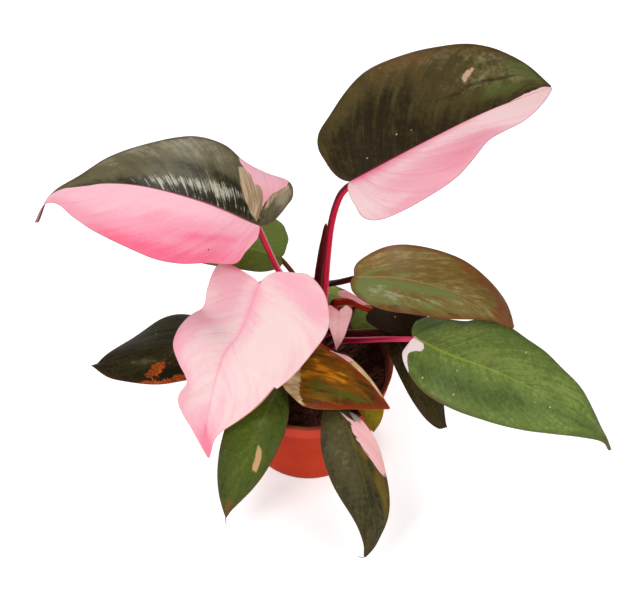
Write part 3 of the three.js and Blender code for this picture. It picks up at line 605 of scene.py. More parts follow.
def leaf_paint(name, looks):
    p = Paint(name, specular_ior_level=looks["specular"], coat_weight=looks["wax"],
              coat_roughness=0.22, subsurface_weight=0.08, subsurface_scale=0.001,
              subsurface_radius=(1, 0.35, 0.3))
    colour = {key: rgb(value) for key, value in {**LEAF_COLOURS, **looks["colours"]}.items()}
    vein = p.attribute("vein", "Vector")
    along, across, _ = p.axes(vein)
    length = looks["blade"].length
    off_rib = p.math("ABSOLUTE", across)
    under = p.attribute("under")
    margin = p.attribute("margin")

    seed = (looks["seed"] * 7.3, looks["seed"] * 3.1, 0)
    shifted = p.vector("ADD", vein, seed)
    fine = p.noise(p.stretched(shifted, 0.8, 0.05, 1))
    broad = p.noise(p.stretched(shifted, 0.16, 0.03, 1), detail=2)
    if looks["sweep"]:
        swept = p.vector("ADD", p.attribute("strokes", "Vector"), seed)
        fine = p.noise(p.stretched(swept, 0.17, 0.25, 1), detail=4)
        broad = p.noise(p.stretched(swept, 0.07, 0.14, 1), detail=2)
    mottle = p.lumps(0.09, detail=5, roughness=0.6)
    cloudy = p.lumps(0.35, detail=4, roughness=0.65)
    grain = p.lumps(1.1, detail=2)

    spacing = length / looks["veins"]
    shift = p.times(p.math("GREATER_THAN", across, 0), spacing / 2)
    side_vein = p.math("PINGPONG", p.math("ADD", along, shift), spacing / 2)
    wander = p.add(fine, 0.25, side_vein)
    side_line = p.times(p.smooth(wander, 0.1, 0.9, 1, 0), p.smooth(margin, 0.5, 5))
    threads = p.math("PINGPONG", p.add(mottle, 0.35, along), 0.75)
    thread_line = p.smooth(threads, 0, 0.45, 1, 0)

    tone = p.total(p.attribute("tone"), (broad, looks["streaks"]), (mottle, looks["mottle"]),
                   (fine, looks["brush"]), (cloudy, looks["fleck"]))
    lamina = p.over(colour["deep"], colour["mid"], tone, -1, 0)
    lamina = p.over(lamina, colour["light"], tone, 0, 1)

    def shade(key, under_it, wobble):
        field = p.add(wobble, looks["swirl"], p.attribute(key))
        return p.over(under_it, colour[key], field, 0.1, 0.95)

    if looks["tint"]:
        lamina = shade("tint", lamina, broad)
    if looks["tan"]:
        lamina = shade("tan", lamina, mottle)
    worn = p.add(mottle, 0.4 * BRONZED, margin)
    lamina = p.over(lamina, colour["bronze"], worn, 0.5, BRONZED, 0.6, 0)
    # Painted sheen: the pale silvery streaks are the leaf's gloss highlight, broken up by its veins and laid
    # into the colour.
    if looks["painted_sheen"]:
        bright = p.total(p.attribute("painted_sheen"), (fine, looks["sheen_breakup"]), (broad, 0.35), (cloudy, 0.3))
        lamina = p.over(lamina, colour["painted_sheen"], bright, 0.45, 1.3, 0, looks["sheen_strength"])
    lamina = p.mix(p.times(side_line, looks["vein_show"]), lamina, colour["vein"])
    lamina = p.mix(p.times(thread_line, 0.06), lamina, colour["vein"])

    blush = p.total(p.attribute("blush"), (fine, 0.14), (broad, 0.2), (cloudy, 0.12))
    pink = p.over(colour["pale"], colour["pink"], blush, -0.6, 0.3)
    pink = p.over(pink, colour["rose"], blush, 0.25, 1.3)
    pink = p.mix(p.times(side_line, looks["flush"]), pink, colour["rose"])

    stripes = p.math("ADD", fine, broad)
    marble = p.over(colour["cream"], colour["cloud"], stripes, -0.9, 0.9)

    ragged = p.times(fine, p.smooth(off_rib, 0.4, 5, 0, looks["ragged"]))

    def patch(key, under_it, over_it, edge=0.22):
        depth = p.math("ADD", p.attribute(key), ragged)
        return p.over(under_it, over_it, depth, -edge, edge)

    skin = lamina
    if looks["crease"]:
        depth = p.add(mottle, 0.5, p.attribute("crease"))
        skin = p.over(skin, colour["deep"], depth, -1.2, 0.8, 0, 0.75)
    if looks["marble"]:
        skin = patch("marble", skin, marble, 0.8)
    if looks["pink"]:
        skin = patch("pink", skin, pink)
    if looks["stain"]:
        depth = p.add(mottle, 0.8, p.attribute("stain"))
        skin = p.over(skin, colour["stain"], depth, -1.5, 1.5, 0, 0.9)
    if looks["scar"]:
        burnt = p.mix(p.smooth(p.math("ADD", mottle, grain), -1, 1), colour["scar"], colour["crust"])
        depth = p.total(p.attribute("scar"), (mottle, looks["charring"]), (fine, 0.3),
                        (cloudy, looks["patchy"]))
        skin = p.over(skin, colour["crust"], depth, -0.7, -0.1, 0, 0.7)
        skin = p.mix(p.smooth(depth, 0.0, 0.4), skin, p.mix(looks["burn"], colour["scar"], burnt))
    for u, v, radius in looks["dots"]:
        centre, _ = looks["blade"].surface(np.array([u]), np.array([v]))
        away = p.node("VectorMath", {0: p.place, 1: tuple(centre[0])}, 1, operation="DISTANCE")
        skin = p.over(skin, colour["speck"], away, 0.5 * radius, radius, 0.9, 0)

    cells = {"Vector": p.stretched(p.place, 0.085, 0.085, 0.085), "Scale": 1}
    dot = p.smooth(p.node("TexVoronoi", cells, "Distance"), 0.025, 0.05, 1, 0)
    some = p.math("GREATER_THAN", p.node("TexVoronoi", cells, "Color"), 1 - looks["specks"])
    skin = p.mix(p.times(dot, some), skin, colour["speck"])

    wide = p.smooth(along, 0, length, looks["rib_width"], 0.25)
    rib = p.smooth(p.math("DIVIDE", off_rib, wide), 0.7, 1.5, looks["rib_show"], 0)
    fading = p.smooth(along, 0.4 * length, length, 1, looks["rib_end"])
    skin = p.mix(p.times(rib, fading), skin, colour["rib"])
    skin = p.over(skin, colour["edge"], p.add(fine, 0.1, margin), 0.05, 0.5, 0.7, 0)
    skin = p.mix(under, skin, p.mix(looks["backing"], skin, colour["under"]))

    gloss = p.total(looks["roughness"], (fine, 0.03), (grain, 0.03), (under, 0.12))
    height = p.total(p.times(thread_line, -0.05), (side_line, -0.35), (fine, 0.1), (grain, 0.05))
    return p.finish(skin, gloss, height, looks["relief"])


# A leaf's colours where its own looks don't say otherwise; the pale silvery grey among them is the colour of
# a painted sheen.
LEAF_COLOURS = dict(
    deep=0x2B2415, mid=0x463C26, light=0x6B6A3C, bronze=0x5A4426, vein=0x6C6440, tint=0x56622E, tan=0x7A5A30,
    painted_sheen=0xB4AC9C, pale=0xF8D6D6, pink=0xF4ACBA, rose=0xF0829C, cream=0xD9BFA4, cloud=0x8C7F68,
    scar=0xC79C74, crust=0x7A5636, stain=0xF0B070, speck=0xC9B48C, rib=0x7A2A33, edge=0x5A3A30,
    under=0x6A4A3A)
WHOLE = [(-0.2, -1.3), (1.2, -1.3), (1.2, 1.3), (-0.2, 1.3)]  # a patch that covers a whole blade

# What a leaf looks like where its own entry in LOOKS doesn't say otherwise.
# rows and columns: the mesh's own. veins: side veins in each half, and lean: how they lean to the tip.
# quilt, channel and rib: the swell between veins, the midrib's groove above and its ridge below, in mm.
# sweep and flow: how strokes lean from the midrib, and how far they run along it in each half.
# streaks, mottle, brush and fleck: how much each noise changes the tone.
# pink, marble, scar, stain and crease: outlines of patches in the blade's own u and v.
# dots: u, v and radius in millimetres.
# tone, blush, tint, tan and the silvery painted sheen: a level all over, then swells as u, v, reach along
# both, and strength.
USUAL_LOOKS = dict(
    rows=72, columns=22, veins=8, lean=0.5, quilt=0.22, channel=0.3, rib=0.9, sweep=0, flow=(1, 1),
    streaks=0.25, mottle=0.25, brush=0.14, fleck=0.3, swirl=0.3, sheen_breakup=0.75, sheen_strength=0.85, vein_show=0.08,
    flush=0.07, ragged=1.2, charring=0.5, patchy=0.1, burn=0.4, specks=0.25, rib_width=0.9, rib_show=0.8,
    rib_end=1, backing=0.5, specular=0.2, wax=0.04, roughness=0.4, relief=0.35, colours={},
    **dict.fromkeys(PATCHES + SHADES + ("dots",), ()))
LOOKS = {
    "top_right": dict(
        slot="leaf_pink", rows=96, columns=30, veins=9, lean=0.6, rib_width=0.7, burn=0.1, charring=0.15,
        vein_show=0.04, flush=0.02, quilt=0.1, specular=0.1, fleck=0.25, brush=0.12, streaks=0.22,
        pink=[[(-0.2, 0), (0.85, 0), (0.9, -0.05), (0.95, -0.13), (0.98, -0.3), (1.2, -0.3), (1.2, 1.3),
            (-0.2, 1.3)]],
        scar=[[(0.757, -0.65), (0.758, -0.6), (0.745, -0.53), (0.73, -0.45), (0.722, -0.425),
            (0.715, -0.45), (0.72, -0.53), (0.73, -0.59)]],
        crease=[[(0.62, -0.335), (0.7, -0.335), (0.73, -0.395), (0.84, -0.455), (0.91, -0.6), (0.85, -0.42),
            (0.73, -0.37), (0.7, -0.31), (0.62, -0.32)]],
        dots=[(0.44, -0.18, 0.8), (0.5, -0.15, 0.6), (0.27, -0.14, 0.7), (0.82, -0.59, 0.5),
            (0.62, -0.49, 0.4), (0.83, -0.29, 0.5), (0.4, -0.4, 0.4)],
        tone=(-0.85, (0.9, -0.6, 0.25, 0.5, 1.1), (0.05, -0.9, 0.1, 0.3, 0.5), (0.5, -0.9, 0.35, 0.25, 0.9),
            (0.7, -0.35, 0.14, 0.25, 0.5)),
        tint=(0, (0.93, -0.75, 0.09, 0.25, 0.8), (0.84, -0.25, 0.12, 0.15, 0.5),
            (0.5, -0.5, 0.3, 0.3, 0.15)),
        tan=(0, (0.5, -1, 0.25, 0.16, 0.5), (0.78, -1, 0.14, 0.12, 0.5), (0.57, -0.8, 0.1, 0.2, 0.3)),
        blush=(-0.2, (0.12, 0, 0.25, 0.1, 1.2), (0.42, 0, 0.3, 0.1, 0.8), (0.7, 0, 0.2, 0.06, 0.4),
            (0.5, 0.8, 0.14, 0.35, 0.8), (0.4, 0.5, 0.14, 0.2, 0.4), (0.32, 0.95, 0.12, 0.14, 0.5),
            (0.62, 0.7, 0.08, 0.2, 0.3), (0.1, 0.6, 0.12, 0.3, -0.3), (0.85, 0.4, 0.2, 0.6, -0.4)),
        colours=dict(deep=0x261E0E, mid=0x4C4022, light=0x968E62, vein=0x6A643C, pale=0xF5D2D2,
            pink=0xEEA6B4, rose=0xE67C96, scar=0xC9A58C, rib=0x7A2034, edge=0x6A5648, tan=0x6A4A26,
            bronze=0x42341A)),
    "top_left": dict(
        slot="leaf_pink", rows=96, columns=30, veins=9, lean=0.7, ragged=0.8, specks=0.05, quilt=0.12,
        vein_show=0.05, flush=0.04, specular=0.12, fleck=0.2, brush=0.2, sheen_breakup=1.1,
        pink=[[(-0.2, 0), (0.75, 0), (0.79, -0.05), (0.84, -0.08), (0.86, 0), (1.2, 0), (1.2, -1.3),
            (-0.2, -1.3)], [(0.37, 1.3), (0.17, 1.3), (0.165, 0.98), (0.15, 0.9), (0.15, 0.73), (0.16, 0.6),
            (0.15, 0.43), (0.14, 0.31), (0.1, 0.13), (0.19, 0.5), (0.21, 0.58), (0.235, 0.66), (0.25, 0.62),
            (0.27, 0.7), (0.28, 0.77), (0.32, 0.85), (0.35, 0.93)]],
        marble=[[(0.34, 0.8), (0.31, 0.9), (0.27, 0.8), (0.24, 0.76), (0.19, 0.54), (0.1, 0.05),
            (0.18, 0.12), (0.25, 0.29), (0.3, 0.51)], [(0.18, 0.99), (0.15, 0.94), (0.15, 0.7),
            (0.16, 0.55), (0.14, 0.4), (0.12, 0.3), (0.12, 0.42), (0.135, 0.6), (0.13, 0.75),
            (0.135, 0.93)]],
        stain=[[(0.08, -0.55), (0.11, -0.57), (0.105, -0.65), (0.08, -0.64)]],
        dots=[(0.28, -0.69, 0.9), (0.47, 0.8, 0.7)],
        # Two of these swells are painted light: the light one near the right margin at u 0.6 is painted
        # sheen, and the dark one along the midrib at u 0.45 is the dark band of the same painted reflection,
        # beside its streaks.
        tone=(-0.35, (0.1, 0.8, 0.08, 0.3, 1.3), (0.45, 0.05, 0.3, 0.1, -0.6), (0.6, 0.85, 0.25, 0.2, 0.8),
            (0.25, 0.2, 0.08, 0.2, -0.5), (0.75, 0.4, 0.15, 0.3, 0.5), (0.5, 0.6, 0.15, 0.12, 0.5),
            (0.42, 0.45, 0.25, 0.1, -0.5)),
        # Painted sheen: the streaks of gloss beside the midrib and the broader gloss near the right margin.
        painted_sheen=(-0.5, (0.62, 0.1, 0.09, 0.08, 0.9), (0.52, 0.18, 0.1, 0.11, 1.1),
            (0.4, 0.22, 0.09, 0.14, 1.2), (0.31, 0.28, 0.07, 0.14, 1.1), (0.43, 0.02, 0.16, 0.03, 0.8),
            (0.24, 0.11, 0.05, 0.05, 1.1), (0.62, 0.9, 0.2, 0.12, 0.6), (0.3, 0.62, 0.06, 0.1, 0.7)),
        blush=(0.2, (0.4, -0.95, 0.22, 0.35, 1), (0.58, -0.95, 0.12, 0.15, 0.4), (0.2, -0.8, 0.1, 0.3, 0.3),
            (0.35, -0.5, 0.12, 0.1, 0.5), (0.24, -0.42, 0.1, 0.08, 0.4), (0.5, -0.1, 0.3, 0.16, -0.8),
            (0.75, -0.35, 0.2, 0.4, -0.9), (0.1, -0.15, 0.1, 0.2, -0.2), (0.25, 0.85, 0.2, 0.3, -0.6)),
        colours=dict(deep=0x241F0F, mid=0x625B40, light=0x9C947A, bronze=0x563E30, rib=0x5A2C30,
            pale=0xF6BCC8, pink=0xF3A0B2, rose=0xF06A8A, speck=0x7A3A42, painted_sheen=0xC4C0AE, cream=0xC8AC90,
            cloud=0x8E7454, edge=0x7A5048, vein=0x8A8068)),
    "back_left": dict(
        slot="leaf_green", specks=0.1, specular=0.08, fleck=0.6, quilt=0.12,
        colours=dict(deep=0x46561C, mid=0x667A2E, light=0x82943E, bronze=0x5E6A2E, rib=0x7A8E48,
            edge=0x6A5A38)),
    "centre_heart": dict(
        slot="leaf_pink", rows=96, columns=30, lean=0.6, rib_width=0.5, rib_show=0.5, specks=0,
        roughness=0.46, quilt=0.09, flush=0.03, relief=0.2, ragged=0.5, burn=0.9, backing=0.15,
        pink=[WHOLE],
        scar=[[(0.54, -1.2), (0.54, -0.995), (0.62, -0.985), (0.7, -0.98), (0.78, -0.985), (0.84, -0.995),
            (0.84, -1.2)]],
        blush=(-0.3, (0.1, 0.9, 0.12, 0.35, 0.8), (0.06, 1, 0.08, 0.3, 0.9), (0.2, 0.45, 0.2, 0.3, 0.5),
            (0.12, 0, 0.2, 0.08, 0.7), (0.38, 0, 0.22, 0.05, 0.4), (0.7, 0, 0.25, 0.04, 0.25),
            (0.57, 0.97, 0.14, 0.2, 0.9), (0.48, 0.66, 0.1, 0.12, 0.4), (0.8, 0.85, 0.1, 0.2, 0.4),
            (0.98, 0, 0.09, 1.2, 2), (0.89, 0.08, 0.07, 0.12, 0.5), (0.09, -0.62, 0.1, 0.3, 0.6),
            (0.22, -0.85, 0.08, 0.25, 0.5), (0.4, -0.1, 0.2, 0.06, 0.3), (0.75, -0.3, 0.06, 0.1, 0.3),
            (0.42, -0.4, 0.2, 0.3, -0.4)),
        colours=dict(pale=0xEECECC, pink=0xEEACB8, rose=0xEC7E98, rib=0xE890A4, edge=0xD88A80,
            scar=0xC87A58, crust=0xA04426)),
    "left": dict(
        slot="leaf_dark", rows=80, columns=24, lean=1.2, veins=7, burn=0.8, charring=1.2, patchy=3.2,
        specular=0.06, wax=0, rib_width=0.5, fleck=0.5, vein_show=0.04, quilt=0.1,
        scar=[[(0.61, -0.54), (0.58, -0.47), (0.52, -0.5), (0.51, -0.6), (0.51, -0.73), (0.52, -0.84),
            (0.55, -0.86), (0.57, -0.82), (0.57, -0.7)], [(0.56, -0.99), (0.51, -0.9), (0.44, -0.89),
            (0.43, -0.8), (0.4, -0.78), (0.34, -0.86), (0.3, -1.1), (0.56, -1.1)]],
        dots=[(0.59, 0.6, 0.7), (0.64, -0.42, 0.6), (0.45, -0.3, 0.7), (0.4, -0.7, 0.6)],
        tone=(-0.5, (0.66, -0.45, 0.14, 0.14, 1), (0.5, -0.2, 0.12, 0.12, 1), (0.45, -0.9, 0.1, 0.3, -0.7)),
        colours=dict(deep=0x181407, mid=0x302A14, light=0x5C563A, bronze=0x3E2414, rib=0x3A321E,
            scar=0xC25A20, crust=0x3E1A0A, speck=0x8A806A, edge=0x4A1E1A)),
    "front_left": dict(
        slot="leaf_green", rows=80, lean=1, burn=0.1, charring=0.3, rib_width=0.5, specular=0.1, fleck=0.5,
        quilt=0.15,
        scar=[[(0.6, -0.17), (0.61, -0.41), (0.64, -0.56), (0.67, -0.62), (0.69, -0.68), (0.71, -0.47),
            (0.7, -0.36), (0.67, -0.33), (0.64, -0.24)]],
        dots=[(0.66, 0.75, 0.8), (0.57, 0.62, 0.6)],
        tone=(-0.1, (0.65, 0.1, 0.25, 0.5, 0.5), (0.3, -0.5, 0.2, 0.4, -0.4), (0.8, 0.8, 0.2, 0.3, -0.4)),
        tan=(0, (1, 0, 0.1, 1, 1)),
        colours=dict(deep=0x2A340E, mid=0x445212, light=0x5E7020, bronze=0x4A4218, rib=0x5E5E26,
            scar=0xC39868, crust=0x8A7A48, speck=0x8A7040, tan=0x7A4A22, edge=0x4A3422)),
    "centre_orange": dict(
        slot="leaf_bronze", rows=80, columns=26, sweep=-3, streaks=0.7, brush=0.6, swirl=0.6, ragged=2.2,
        specular=0.1, fleck=0.15, mottle=0.15, quilt=0.08, vein_show=0,
        pink=[[(0.3, -0.15), (0.56, -0.2), (0.57, -1.2), (0.3, -1.2)]],
        marble=[[(-0.1, 0.5), (0.22, 0.58), (0.32, 0.64), (0.38, 0.72), (0.45, 0.85), (0.56, 0.93),
            (0.66, 1.2), (-0.1, 1.2)], [(0.57, -0.2), (0.9, -0.15), (0.95, -1.2), (0.57, -1.2)]],
        tone=(-0.4, (0.6, 0.28, 0.2, 0.12, 0.9), (0.35, 0.3, 0.12, 0.3, 0.8), (1, 0.2, 0.25, 0.6, -0.6)),
        tint=(-0.1, (0.74, 0.5, 0.2, 0.12, 1), (0.52, 0.6, 0.1, 0.12, 0.9)),
        tan=(0, (0.75, 0.85, 0.15, 0.12, 0.8), (1, 0.5, 0.12, 1, 1), (0.7, 0.02, 0.4, 0.06, 0.5),
            (0.9, 0.9, 0.2, 0.15, 0.5)),
        colours=dict(deep=0x462A02, mid=0x7A4A02, light=0xD48408, rib=0x9A3A10, tint=0x50500E, tan=0x742606,
            cream=0xD8BE9A, cloud=0xA88A54, bronze=0x8A3408, edge=0x8A5030, pink=0xDCA6A6, pale=0xE2C0B6)),
    "front_small": dict(
        slot="leaf_green", lean=1.2, rib_width=0.5, specular=0.1, fleck=0.7, specks=0.5, quilt=0.1,
        colours=dict(deep=0x6A5A04, mid=0x8C7806, light=0xB09C16, rib=0x9A8A14, bronze=0x8A6208,
            edge=0x8A7020, speck=0x5A4A08)),
    "front_right": dict(
        slot="leaf_dark", rows=80, lean=1, rib_width=0.5, specular=0.1, fleck=0.5, ragged=2, quilt=0.15,
        pink=[[(0.25, 0.02), (0.3, 0.01), (0.36, -0.12), (0.37, -0.2), (0.42, -0.12), (0.45, -0.15),
            (0.5, -0.2), (0.55, -0.42), (0.57, -0.5), (0.59, -0.63), (0.6, -0.8), (0.58, -0.96),
            (0.58, -1.2), (0.3, -1.2), (0.31, -0.9), (0.34, -0.7), (0.35, -0.4), (0.33, -0.2),
            (0.29, -0.03)]],
        marble=[[(0.27, -0.5), (0.24, -1.2), (0.31, -1.2), (0.34, -0.78), (0.35, -0.4)]],
        dots=[(0.55, 0.6, 0.6), (0.8, 0.2, 0.7), (0.75, 0.75, 0.8), (0.62, 0.9, 0.7), (0.5, 0.85, 0.5)],
        tone=(-0.5, (0.45, 0.3, 0.25, 0.4, 0.8), (0.6, -0.3, 0.15, 0.15, 0.3), (0.85, 0.3, 0.15, 1, -0.2)),
        tint=(0, (0.48, -0.03, 0.08, 0.08, 0.7), (0.56, -0.22, 0.06, 0.12, 0.8),
            (0.64, -0.55, 0.06, 0.15, 0.8), (0.68, -0.85, 0.1, 0.25, 1)),
        tan=(0, (1, 0, 0.12, 1, 0.8)),
        colours=dict(deep=0x24200F, mid=0x484222, light=0x6E6A40, rib=0x50502C, tint=0x6A561C, tan=0x54401C,
            pink=0xF2B2B4, pale=0xF4C6C4, cream=0xB8AC9C, cloud=0x6A6C54, bronze=0x42341A, speck=0x7A5A3A)),
    "right": dict(
        slot="leaf_green", rows=90, columns=26, veins=9, lean=0.9, rib_end=0.15, specks=0.1, quilt=0.14,
        fleck=0.6, brush=0.5, specular=0.1, wax=0,
        pink=[[(-0.2, -0.15), (0.02, -0.12), (0.1, -0.03), (0.2, 0.05), (0.23, 0.16), (0.22, 0.3),
            (0.19, 0.4), (0.175, 0.6), (0.18, 0.74), (0.22, 0.86), (0.26, 0.96), (0.26, 1.2), (-0.2, 1.2)]],
        dots=[(0.57, -0.68, 0.9), (0.32, 0.74, 0.9), (0.44, 0.69, 0.8), (0.71, 0.28, 0.6),
            (0.76, 0.25, 0.7), (0.43, 0.23, 0.6)],
        # The dark swell along the left margin near the foot is painted shade, where the edge of mid_right
        # shades this leaf.
        tone=(0.22, (0.45, 0.5, 0.1, 0.3, -0.7), (0.62, 0.4, 0.1, 0.2, -0.8), (0.35, 0.5, 0.08, 0.2, -0.4),
            (0.55, -0.3, 0.2, 0.3, 0.5), (0.8, -0.45, 0.1, 0.3, 0.4), (0.3, -0.3, 0.1, 0.2, 0.3),
            (0.25, -0.95, 0.3, 0.15, -0.9), (0.8, 0.3, 0.1, 0.1, -0.5), (0.92, 0.2, 0.12, 0.6, -0.45)),
        # The dark-green swell in the left lobe by the notch, at u 0.08, is painted shade.
        tint=(0, (0.5, 0.6, 0.25, 0.3, 0.4), (0.25, 0.6, 0.1, 0.2, 0.4), (0.08, -0.6, 0.12, 0.5, 0.9)),
        tan=(0, (0.42, 1, 0.1, 0.08, 0.8), (1, 0, 0.06, 1, 1), (0.3, 0.75, 0.12, 0.15, 0.25)),
        blush=(-0.5, (0, 0, 0.06, 0.25, 1.6), (0.06, 0, 0.1, 0.12, 0.6)),
        colours=dict(deep=0x4E5C30, mid=0x667A3A, light=0x889A4E, rib=0x98A640, tint=0x46562A, tan=0x6E4A34,
            vein=0x869840, bronze=0x525C2E, speck=0xE8E4BC, edge=0x5E4A3C, pale=0xFFF0EE, pink=0xFFD6DA,
            rose=0xD04468)),
    "mid_right": dict(
        slot="leaf_bronze", rows=84, columns=24, sweep=3.5, flow=(1, 0.4), streaks=0.4, brush=0.4,
        swirl=0.5, sheen_strength=0.5, sheen_breakup=0.55, rib_width=0.7, specular=0.12, fleck=0.2, quilt=0.1,
        vein_show=0.02,
        tone=(0, (0.8, 0.1, 0.2, 0.4, 0.35), (0.4, -0.65, 0.25, 0.2, 0.3), (0.5, 0.85, 0.25, 0.15, -0.6),
            (0.15, 0.8, 0.15, 0.2, -0.4)),
        tint=(0, (0.2, 0.35, 0.2, 0.35, 0.65), (0.45, 0.15, 0.3, 0.14, 0.55), (0.3, -0.15, 0.2, 0.1, 0.4),
            (0.7, 0.1, 0.2, 0.14, 0.5), (0.12, 0.75, 0.2, 0.3, 0.6), (0.55, 0.55, 0.35, 0.35, 0.45)),
        tan=(0, (0.8, -0.8, 0.15, 0.3, 0.7), (0.95, 0, 0.08, 1, 0.8), (0.4, -1, 0.3, 0.12, 0.5),
            (0.6, 1, 0.35, 0.1, 0.5), (0.35, -0.85, 0.15, 0.15, 0.4)),
        # Painted sheen: streaks of gloss, mostly over the right half.
        painted_sheen=(-0.2, (0.3, 0.45, 0.2, 0.3, 0.9), (0.6, 0.5, 0.25, 0.25, 0.7),
            (0.45, -0.6, 0.3, 0.25, 0.35), (0.28, 0.05, 0.25, 0.03, 0.5)),
        colours=dict(deep=0x543C18, mid=0x7C6630, light=0xB8A06A, tint=0x6E7A42, tan=0x80461E,
            painted_sheen=0xB4B292, rib=0x9A8058, bronze=0x70401A, edge=0x6A3020)),
    "under_right": dict(
        slot="leaf_dark", lean=1, specular=0.06, wax=0, fleck=0.5, quilt=0.12,
        tone=(0, (0.1, 0, 0.35, 1.5, -1.2)),
        colours=dict(deep=0x180F06, mid=0x3A3118, light=0x544826, bronze=0x362812, edge=0x3A1A14,
            rib=0x382C18)),
    "dark_right": dict(
        slot="leaf_dark", lean=0.8, specular=0.03, wax=0, quilt=0.08, vein_show=0.02,
        dots=[(0.5, 0.19, 0.6)],
        colours=dict(deep=0x140A03, mid=0x20140A, light=0x2E2214, bronze=0x20110A, edge=0x34180E,
            rib=0x241409)),
    "tiny_heart": dict(
        slot="leaf_pink", rows=48, columns=14, rib=0.2, channel=0.1, rib_width=0.4, rib_show=0.4, specks=0,
        quilt=0, flush=0.02, backing=0.15,
        pink=[WHOLE],
        blush=(-0.2, (0.1, 0.6, 0.2, 0.4, 0.5)),
        colours=dict(pale=0xF8C4C4, pink=0xF4A2A6, rose=0xE08088, rib=0xE8A0A8, edge=0xD08890)),
    "back": dict(
        slot="leaf_green", rows=48, columns=14, rib=0.2, channel=0.08, rib_width=0.3, quilt=0.08, flush=0.03,
        pink=[[(0.57, -1.2), (1.2, -1.2), (1.2, 1.3), (0.74, 1.3), (0.72, 0.2), (0.6, -0.3)]],
        marble=[[(-0.2, -1.3), (0.3, -1.3), (0.3, 1.3), (-0.2, 1.3)]],
        colours=dict(deep=0x6A7A2A, mid=0x8E9E48, light=0xB0B870, cream=0xC8CCB0, cloud=0x9CAA80,
            pink=0xEE9CA4, pale=0xF2B6BA, edge=0xA09080, rib=0xB0A878)),
    "low_right": dict(
        slot="leaf_green", rows=48, columns=14, specular=0.06, wax=0, quilt=0.08,
        colours=dict(deep=0x3E4A14, mid=0x5C6A22, light=0x7A8636, rib=0x6A7A34)),
}



def dress_blade(name, node, leaf, looks, seed, skin):
    """A blade in its own material, in place of a node."""
    looks = {**USUAL_LOOKS, **looks, "seed": seed, "blade": Blade(leaf)}
    leaf_blade(name, looks, leaf_paint(skin, looks), node)


for number, (name, leaf) in enumerate(LEAVES.items(), 1):
    dress_blade("leaf_" + name, "blade_" + name, leaf, LOOKS[name], number, "leaf_" + name)


# ---- stems, stalks and the sheath ----------------------------------------

def stem_radius(stem, t):
    swelling = np.where(t > 0.45, 0.5 * np.cos(stem["nodes"] * 2 * np.pi * t) ** 4, 0)
    return lerp(*stem["radius"], t) + swelling


STALK_SINK = 0.5  # how deep a stalk's foot sits in its stem
STALK_LEAD = 4  # how far a stalk runs straight out of its stem, and on under its blade


def stalk_curve(leaf):
    """From inside the stem, along the stalk's points, to under the blade's midrib."""
    spec = leaf["stalk"]
    stem = STEMS[spec["stem"]]
    share = np.array((spec["height"] - STEM_FOOT) / (stem["path"][-1][2] - STEM_FOOT))
    azimuth, rise = math.radians(spec["azimuth"]), math.radians(spec["rise"])
    out = np.array([math.cos(azimuth), math.sin(azimuth), 0])
    direction = out * math.cos(rise) + np.array([0, 0, math.sin(rise)])
    axis = Curve(stem["path"]).at(share)
    seat = axis + out * (float(stem_radius(stem, share)) - STALK_SINK + spec["radius"][0] * math.sin(rise))
    point, along, _, up = Blade(leaf).frame(np.array(0.0))
    foot = seat - out * 1.5 - np.array([0, 0, 3.0])
    end = point - up * (spec["radius"][1] + 0.8)
    beyond = point + along * STALK_LEAD - up * (0.85 * spec["radius"][1] + 1.0)
    return Curve([foot, seat + direction * STALK_LEAD, *spec["through"], end, beyond]), out


def stalk_paint(name, colours):
    p = Paint(name, specular_ior_level=0.08, coat_weight=0.05, coat_roughness=0.2, subsurface_weight=0.08,
              subsurface_scale=0.001)
    main, shade, stripe = (rgb(c) for c in colours)
    turn = p.attribute("turn", "Vector")
    along, _, _ = p.axes(turn)
    streak = p.noise(p.stretched(turn, 0.035, 2.4, 2.4), detail=4)
    mottle = p.lumps(0.3, 0.3, 0.12, detail=4)
    side, _, _ = p.axes(p.attribute("facing", "Vector"))
    lit = p.add(streak, 0.18, side)
    skin = p.over(shade, main, lit, -0.75, -0.05)
    skin = p.over(skin, stripe, lit, 0.55, 0.85, 0, 0.8)
    skin = p.over(skin, shade, mottle, 0.4, 1.6, 0, 0.35)
    foot = p.smooth(along, 2, 14, 0.6, 0)
    skin = p.mix(foot, skin, shade)
    height = p.add(streak, 0.4, p.times(mottle, 0.2))
    gloss = p.add(mottle, 0.04, 0.36)
    return p.finish(skin, gloss, height, 0.25)


# The main colour of each stalk, its shaded side and its lit stripe.
STALK_COLOURS = {
    "top_right": (0xBE1030, 0x5A0C1C, 0xE0607E), "top_left": (0xD0203A, 0x5A0E1C, 0xE8A0AA),
    "back_left": (0x6A3A24, 0x3A2016, 0x94684C), "centre_heart": (0xD0607A, 0xA03A50, 0xE890A0),
    "left": (0x4A1A1A, 0x240C0C, 0x7A3030), "front_left": (0x55301E, 0x2C150E, 0x7A5030),
    "centre_orange": (0x8A2418, 0x44100C, 0xB85A2A), "front_small": (0x7A5A20, 0x44300F, 0x9A8030),
    "front_right": (0x55301E, 0x2C150E, 0x7A5030), "right": (0xD83A5E, 0x6A0C20, 0xEA86A0),
    "mid_right": (0x4E0C10, 0x28080A, 0x78181C), "under_right": (0x4A0C0E, 0x240606, 0x681216),
    "dark_right": (0x9A1E06, 0x420804, 0xB83C0C), "tiny_heart": (0xD86A7C, 0x9A3048, 0xE890A0),
    "back": (0x5A3A20, 0x302010, 0x7A5A30), "low_right": (0x5A3A20, 0x302010, 0x7A5A30),
}
UP = np.array([0, 0, 1.0])
WING_REACH, WING_SPREAD = 0.16, 0.7  # the sheathing foot of a stalk, as shares of its length and breadth
STALK_SIDES = 16


